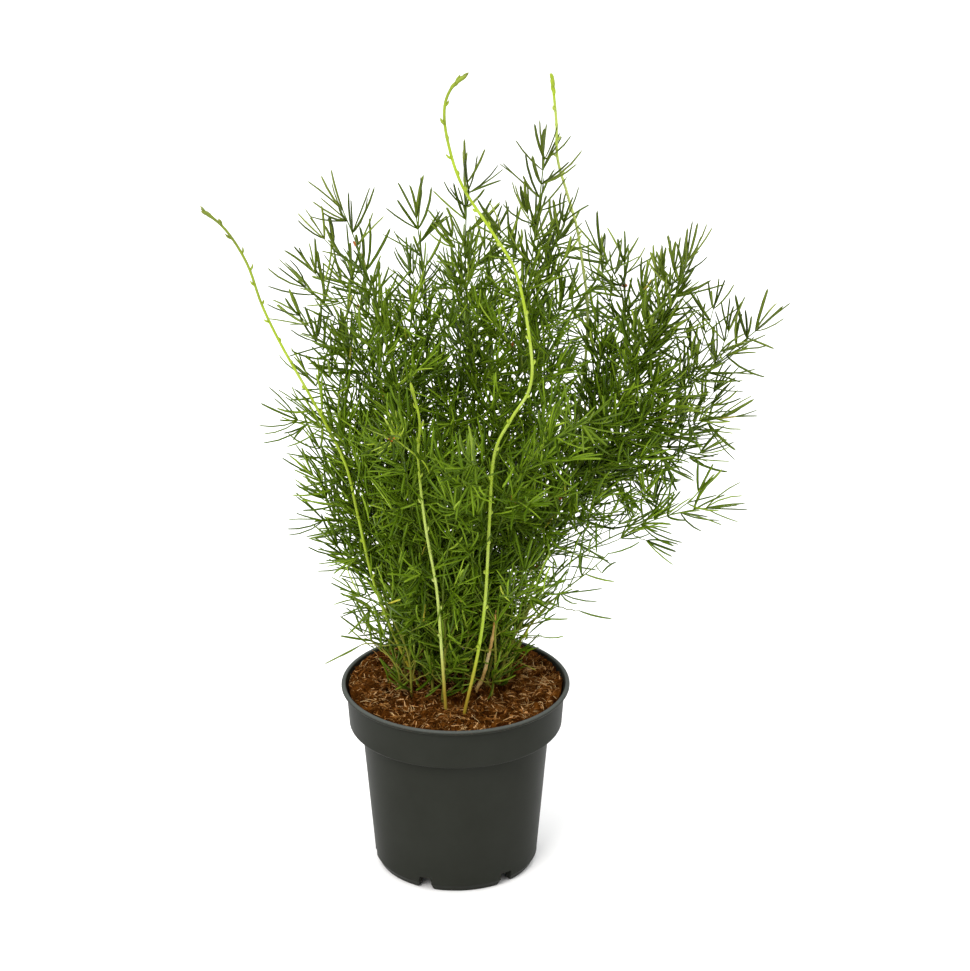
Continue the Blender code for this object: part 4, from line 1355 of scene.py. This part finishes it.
def build_shoot_look():
    look, tree = new_look("shoot_skin", 0.4, SHOOT_SHINE)
    patches, _ = mottled(tree, (-900, -150), 60.0, 700.0)
    drift = remap(tree, (-650, -100), patches, target=(-0.18, 0.18))
    tone = added(tree, (-500, 250), number(tree, (-900, 300), "tone"), drift)
    low = remap(tree, (-500, -350), object_height(tree, (-900, -400)), FOOT_HEIGHTS, (0.9, 0.0))
    footed = blend(tree, (0, 200), low, ramp(tree, (-350, 300), tone, SHOOT_STOPS), SHOOT_FOOT)
    papery = remap(tree, (0, -50), number(tree, (-900, 100), "reach"), (0.5, 1.0), (0.0, 0.6))
    set_shader(tree, {"Base Color": blend(tree, (250, 100), papery, footed, SCALE_TAN)})
    add_bump(tree, 500.0, 0.5, 0.12, 0.0003)
    return look


SHOOT_LOOK = build_shoot_look()
for index, shoot in enumerate(SHOOTS):
    mesh = shoot_mesh(shoot, shoot_lines[shoot.name], random.Random(600 + index))
    print(mesh.name, "triangles:", add_piece(mesh.name, mesh, SHOOT_LOOK, shoot.name))

# %% [markdown]
# One shoot of an earlier year has died back to a dry tan stalk. It is a tube too, but knotted: its radius
# swells at the old nodes, it is a little kinked, and it ends where it broke.

# %% The old stalk
KNOT_SPACING = 11.0
KNOT_SWELL = 0.18
STALK_KINK = 0.12
STALK_STOPS = ((0.0, (0.500, 0.230, 0.040)), (0.6, (0.760, 0.500, 0.170)), (1.0, (0.900, 0.740, 0.380)))
STALK_SHINE = 0.1


def stalk_mesh(line, rng):
    fine = thinned(line, 60)
    whole = rooted(fine, *OLD_STALK.points[0])
    runs = lengths(whole)
    knots = np.clip(np.cos(runs / KNOT_SPACING * math.tau), 0.0, 1.0) ** 6
    radii = np.linspace(*OLD_STALK.drawn, len(whole)) * (1.0 + KNOT_SWELL * knots)
    kinks = np.array([[rng.uniform(-STALK_KINK, STALK_KINK) for _ in range(2)] + [0.0] for _ in whole])
    kinks[:4] = 0.0
    return joined("dry_stalk", (tube_mesh("stalk", [(whole + kinks, radii)], 2),))


def build_stalk_look():
    look, tree = new_look("dry_stalk_skin", 0.7, STALK_SHINE)
    patches, _ = mottled(tree, (-600, 100), 110.0, 900.0)
    set_shader(tree, {"Base Color": ramp(tree, (-300, 200), patches, STALK_STOPS)})
    add_bump(tree, 700.0, 0.6, 0.35, 0.0004)
    return look


stalk = stalk_mesh(shoot_lines["old_stalk"], random.Random(700))
triangles = add_piece("dry_stalk", stalk, build_stalk_look(), "old_stalk")
print("dry stalk triangles:", triangles)

# %% [markdown]
# ## The potting mix
#
# The mix is peat and coconut fibre: lumpy, matted and full of dark gaps. No single surface looks like that,
# so it is built in layers. A spun body fills the pot and its top is pushed into lumps. Crumbs and flat
# shreds of husk are scattered over it, and thousands of short curved fibres lie on and stick out of them.

# %% The body of the mix
SOIL_GAP = 0.4
SOIL_RINGS = 72
SOIL_TURNS = 220
EDGE_RISE = 4.6
LUMPS = ((9.0, 4.8), (3.8, 3.8), (1.7, 1.3))
LUMP_NOISE = (0.8, 2.0, 2)
LUMP_SHIFT = 31.0
LUMP_GAIN, LUMP_SINK = 2.2, 0.5


def soil_edge():
    share = (SOIL_LEVEL - BAND_FOOT - POT_WALL) / (POT_HEIGHT - BAND_FOOT - POT_WALL - 1.7)
    return BAND_FOOT_RADIUS + (BAND_TOP_RADIUS - BAND_FOOT_RADIUS) * share - POT_WALL - SOIL_GAP


def lumpy_height(x, y):
    """The mix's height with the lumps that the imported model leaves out. Between lumps are sharp gaps."""
    height = soil_height(x, y) + EDGE_RISE * (math.hypot(x, y) / BAND_TOP_RADIUS) ** 4
    for row, (size, rise) in enumerate(LUMPS):
        place = Vector((x, y, LUMP_SHIFT * row)) / size
        height += rise * (abs(noise.fractal(place, *LUMP_NOISE)) * LUMP_GAIN - LUMP_SINK)
    return min(height, POT_HEIGHT - 1.0)


def mix_body():
    edge = soil_edge()
    rings = [(edge * i / SOIL_RINGS, SOIL_LEVEL) for i in range(SOIL_RINGS + 1)]
    wall = BODY_TOP_RADIUS - POT_WALL - SOIL_GAP
    outline = [
        *rings,
        (BAND_FOOT_RADIUS - POT_WALL - 1.0 - SOIL_GAP, BAND_FOOT + POT_WALL + 1.0 + SOIL_GAP),
        (wall, BAND_FOOT + POT_WALL + SOIL_GAP),
        (BODY_FOOT_RADIUS - POT_WALL - 2.0, FLOOR_TOP + 6.0),
        (34.0, FLOOR_TOP + SOIL_GAP),
        (0.0, FLOOR_TOP + SOIL_GAP),
    ]
    mesh = spun_mesh("mix_body", outline, SOIL_TURNS)
    for vert in mesh.vertices:
        if math.isclose(vert.co.z, SOIL_LEVEL * MM, abs_tol=0.01 * MM):
            vert.co.z = lumpy_height(vert.co.x / MM, vert.co.y / MM) * MM
        vert.co += Vector(POT_AXIS)
    return mesh


# %% Crumbs, shreds and tufts of fibre
CRUMB_COUNT = 420
CRUMB_WIDTHS = (1.0, 3.0)
CRUMB_TONE = 0.6
SHRED_COUNT = 4300
SHRED_LENGTHS = (1.6, 7.5)
SHRED_WIDTHS = (0.4, 1.3)
SHRED_DEPTHS = (0.3, 0.7)
TUFT_COUNT = 520
TUFT_SIZES = (4, 8)
FIBRE_LENGTHS = (3.0, 11.0)
FIBRE_WIDTHS = (0.2, 0.42)
SUNK, OVERHANG = 0.3, 1.0
LYING_LOW, LYING_HIGH = 0.4, 3.5


def crumb_pattern():
    """A rough lump between z 0 and 1, from a ball whose points are pushed about."""
    bm = bmesh.new()
    bmesh.ops.create_icosphere(bm, subdivisions=1, radius=0.5)
    rng = random.Random(41)
    for vert in bm.verts:
        vert.co *= rng.uniform(0.75, 1.2)
    bmesh.ops.translate(bm, verts=bm.verts, vec=(0, 0, 0.5))
    return pattern_points(bm)


def random_spot(rng, reach):
    radius = reach * math.sqrt(rng.random())
    turn_by = rng.uniform(0, math.tau)
    return radius * math.cos(turn_by), radius * math.sin(turn_by)


def crumbs(rng):
    """Each of these three gives one copy after the other: what stamping needs, and then its tone."""
    for _ in range(CRUMB_COUNT):
        x, y = random_spot(rng, soil_edge() - 2.0)
        width = rng.uniform(*CRUMB_WIDTHS) * rng.uniform(0.5, 1.0)
        top = lumpy_height(x, y)
        heading = unit(np.array((rng.gauss(0, 1), rng.gauss(0, 1), rng.gauss(0, 0.5))))
        root = np.array((x, y, top)) - heading * width * 0.5
        side = across(heading, rng.uniform(0, math.tau))
        tip = root + heading * width * rng.uniform(0.7, 1.5)
        yield root, tip, side, heading * 0, width, width * 0.8, CRUMB_TONE * rng.random()


def lying(rng, x, y, flat, slope, length):
    """A length that starts at a spot on the mix, and ends near the mix too, or nothing if that is outside."""
    heading = unit(np.array((math.cos(flat), math.sin(flat), slope)))
    root = np.array((x, y, lumpy_height(x, y) - SUNK))
    tip = root + heading * length
    if math.hypot(tip[0], tip[1]) > soil_edge() + OVERHANG:
        return None
    ground = lumpy_height(tip[0], tip[1])
    tip[2] = min(max(tip[2], ground - LYING_LOW), ground + LYING_HIGH)
    return root, tip


def shreds(rng):
    """Flat shreds of husk and bark."""
    made = 0
    while made < SHRED_COUNT:
        x, y = random_spot(rng, soil_edge() - 1.0)
        small = rng.random() ** 2
        length = SHRED_LENGTHS[1] + (SHRED_LENGTHS[0] - SHRED_LENGTHS[1]) * (1.0 - small)
        ends = lying(rng, x, y, rng.uniform(0, math.tau), rng.gauss(0.1, 0.35), length)
        if ends is None:
            continue
        root, tip = ends
        side = across(unit(tip - root), rng.gauss(1.57, 0.5))
        bow = np.array((0.0, 0.0, rng.uniform(-0.02, 0.12) * length))
        width = rng.uniform(*SHRED_WIDTHS) * (0.6 + 0.5 * small)
        yield root, tip, side, bow, width, rng.uniform(*SHRED_DEPTHS), rng.random() ** 1.1
        made += 1


def fibres(rng):
    """Coir in tufts: each tuft's fibres run nearly the same way and share a tone."""
    for _ in range(TUFT_COUNT):
        x, y = random_spot(rng, soil_edge() - 1.0)
        flat, slope, tuft_tone = rng.uniform(0, math.tau), rng.gauss(0.08, 0.2), rng.random()
        for _ in range(rng.randint(*TUFT_SIZES)):
            at = (x + rng.gauss(0, 1.2), y + rng.gauss(0, 1.2))
            length = rng.uniform(*FIBRE_LENGTHS) * rng.uniform(0.6, 1.0)
            ends = lying(rng, *at, flat + rng.gauss(0, 0.45), slope + rng.gauss(0, 0.15), length)
            if ends is None or math.hypot(*at) > soil_edge():
                continue
            root, tip = ends
            bow = across(unit(tip - root), rng.gauss(0, 1.2)) * length * rng.uniform(0.0, 0.16)
            bow[2] = abs(bow[2]) + 0.2
            width = rng.uniform(*FIBRE_WIDTHS)
            tone = min(max(tuft_tone + rng.gauss(0, 0.15), 0.0), 1.0)
            yield root, tip, across(unit(tip - root), 1.0), bow, width, width, tone


# %% Mix colours
MIX_STOPS = (
    (0.0, (0.036, 0.0085, 0.0003)),
    (0.4, (0.170, 0.057, 0.007)),
    (0.75, (0.480, 0.212, 0.062)),
    (1.0, (0.840, 0.500, 0.225)),
)
FIBRE_STOPS = (
    (0.0, (0.060, 0.019, 0.002)),
    (0.45, (0.230, 0.095, 0.020)),
    (0.8, (0.480, 0.260, 0.090)),
    (1.0, (0.780, 0.540, 0.270)),
)
MIX_SHINE = 0.03


def build_mix_look(name, stops, patch_scale, bump):
    look, tree = new_look(name, 0.95, MIX_SHINE)
    patches, specks = mottled(tree, (-900, 0), patch_scale, 1500.0)
    drift = remap(tree, (-650, 50), patches, target=(-0.3, 0.3))
    speckle = remap(tree, (-650, -200), specks, target=(-0.15, 0.15))
    tone = added(tree, (-450, 200), number(tree, (-900, 300), "tone"), drift, False)
    tone = added(tree, (-250, 200), tone, speckle)
    set_shader(tree, {"Base Color": ramp(tree, (-50, 200), tone, stops)})
    add_bump(tree, 900.0, 0.7, bump, 0.0012)
    return look


# %% Make the mix
BODY_TONE = 0.16
CRUMB_LOOK = build_mix_look("mix_crumbs", MIX_STOPS, 130.0, 0.9)
FIBRE_LOOK = build_mix_look("mix_fibres", FIBRE_STOPS, 90.0, 0.2)
body_mesh = mix_body()
set_numbers(body_mesh, tone=BODY_TONE)
body_mesh.shade_smooth()
print("mix_body triangles:", add_piece("mix_body", body_mesh, CRUMB_LOOK, "soil"))

for name, pattern, scattered, seed, look in (
    ("mix_crumbs", crumb_pattern(), crumbs, 801, CRUMB_LOOK),
    ("mix_shreds", SHRED_PATTERN, shreds, 803, CRUMB_LOOK),
    ("mix_fibres", FIBRE_PATTERN, fibres, 802, FIBRE_LOOK),
):
    *copies, tones = columns(scattered(random.Random(seed)))
    mesh = stamped_mesh(name, pattern, copies, tones)
    if look is FIBRE_LOOK:
        mesh.shade_smooth()
    print(name, "triangles:", add_piece(name, mesh, look, "soil"))

# %% [markdown]
# ## The studio
#
# The plant is photographed as a cut-out on white, under large soft lights. A pale floor and a white world
# give the same even surround. The widest panel hangs overhead. A smaller one high on the left in front
# models the pot, and a weak one on the right keeps the needles from going black.

# %% Floor
FLOOR_RADIUS = 6.0
FLOOR_WHITE = (0.93, 0.93, 0.93)


def make_floor():
    bm = bmesh.new()
    bmesh.ops.create_circle(bm, cap_ends=True, segments=96, radius=FLOOR_RADIUS)
    look, tree = new_look("floor_paper", 0.9)
    patches, _ = mottled(tree, (-500, 0), 1.5, 80.0)
    tones = ((0.0, FLOOR_WHITE), (1.0, tuple(v * 1.02 for v in FLOOR_WHITE)))
    set_shader(tree, {"Base Color": ramp(tree, (-200, 0), patches, tones)})
    floor = new_object("studio_floor", mesh_of(bm, "studio_floor"))
    floor.data.materials.append(look)
    print("floor:", floor.name)


make_floor()

# %% Lights
Panel = namedtuple("Panel", "name at aim size power tint")
PANELS = (
    Panel("key_panel", (-1.1, -1.9, 2.0), (0.0, 0.0, 0.25), 1.4, 55.0, (1.0, 0.98, 0.95)),
    Panel("top_panel", (0.0, 0.8, 3.0), (0.0, 0.8, 0.0), 5.0, 158.0, (1.0, 1.0, 1.0)),
    Panel("fill_panel", (1.7, -1.2, 1.3), (0.0, 0.0, 0.25), 1.4, 7.0, (0.98, 0.99, 1.0)),
)
WORLD_STRENGTH = 0.6


for panel in PANELS:
    lamp = bpy.data.lights.new(panel.name, "AREA")
    lamp.size, lamp.energy, lamp.color = panel.size, panel.power, panel.tint
    holder = new_object(panel.name, lamp)
    holder.location = panel.at
    holder.rotation_euler = (Vector(panel.aim) - Vector(panel.at)).to_track_quat("-Z", "Y").to_euler()

world = bpy.data.worlds.new("white_studio")
world.use_nodes = True
background = world.node_tree.nodes["Background"].inputs
background["Color"].default_value = (1.0, 1.0, 1.0, 1.0)
background["Strength"].default_value = WORLD_STRENGTH
bpy.context.scene.world = world
bpy.context.scene.view_settings.view_transform = "Standard"
print("lights:", len(PANELS))

# %% Camera
CAMERA_OFFSET = (0.0, -1.710, 0.959)
CAMERA_PITCH = math.radians(22.54)
CAMERA_YAW = math.radians(0.605)
FOCAL_LENGTH = 114.95
SENSOR_WIDTH = 36.0

camera_data = bpy.data.cameras.new("camera")
camera_data.lens = FOCAL_LENGTH
camera_data.sensor_width = SENSOR_WIDTH
camera = new_object("camera", camera_data)
camera.location = Vector(POT_AXIS) + Vector(CAMERA_OFFSET)
camera.rotation_euler = (math.pi / 2 - CAMERA_PITCH, 0.0, -CAMERA_YAW)
bpy.context.scene.camera = camera
print("camera at", tuple(round(v, 3) for v in camera.location))
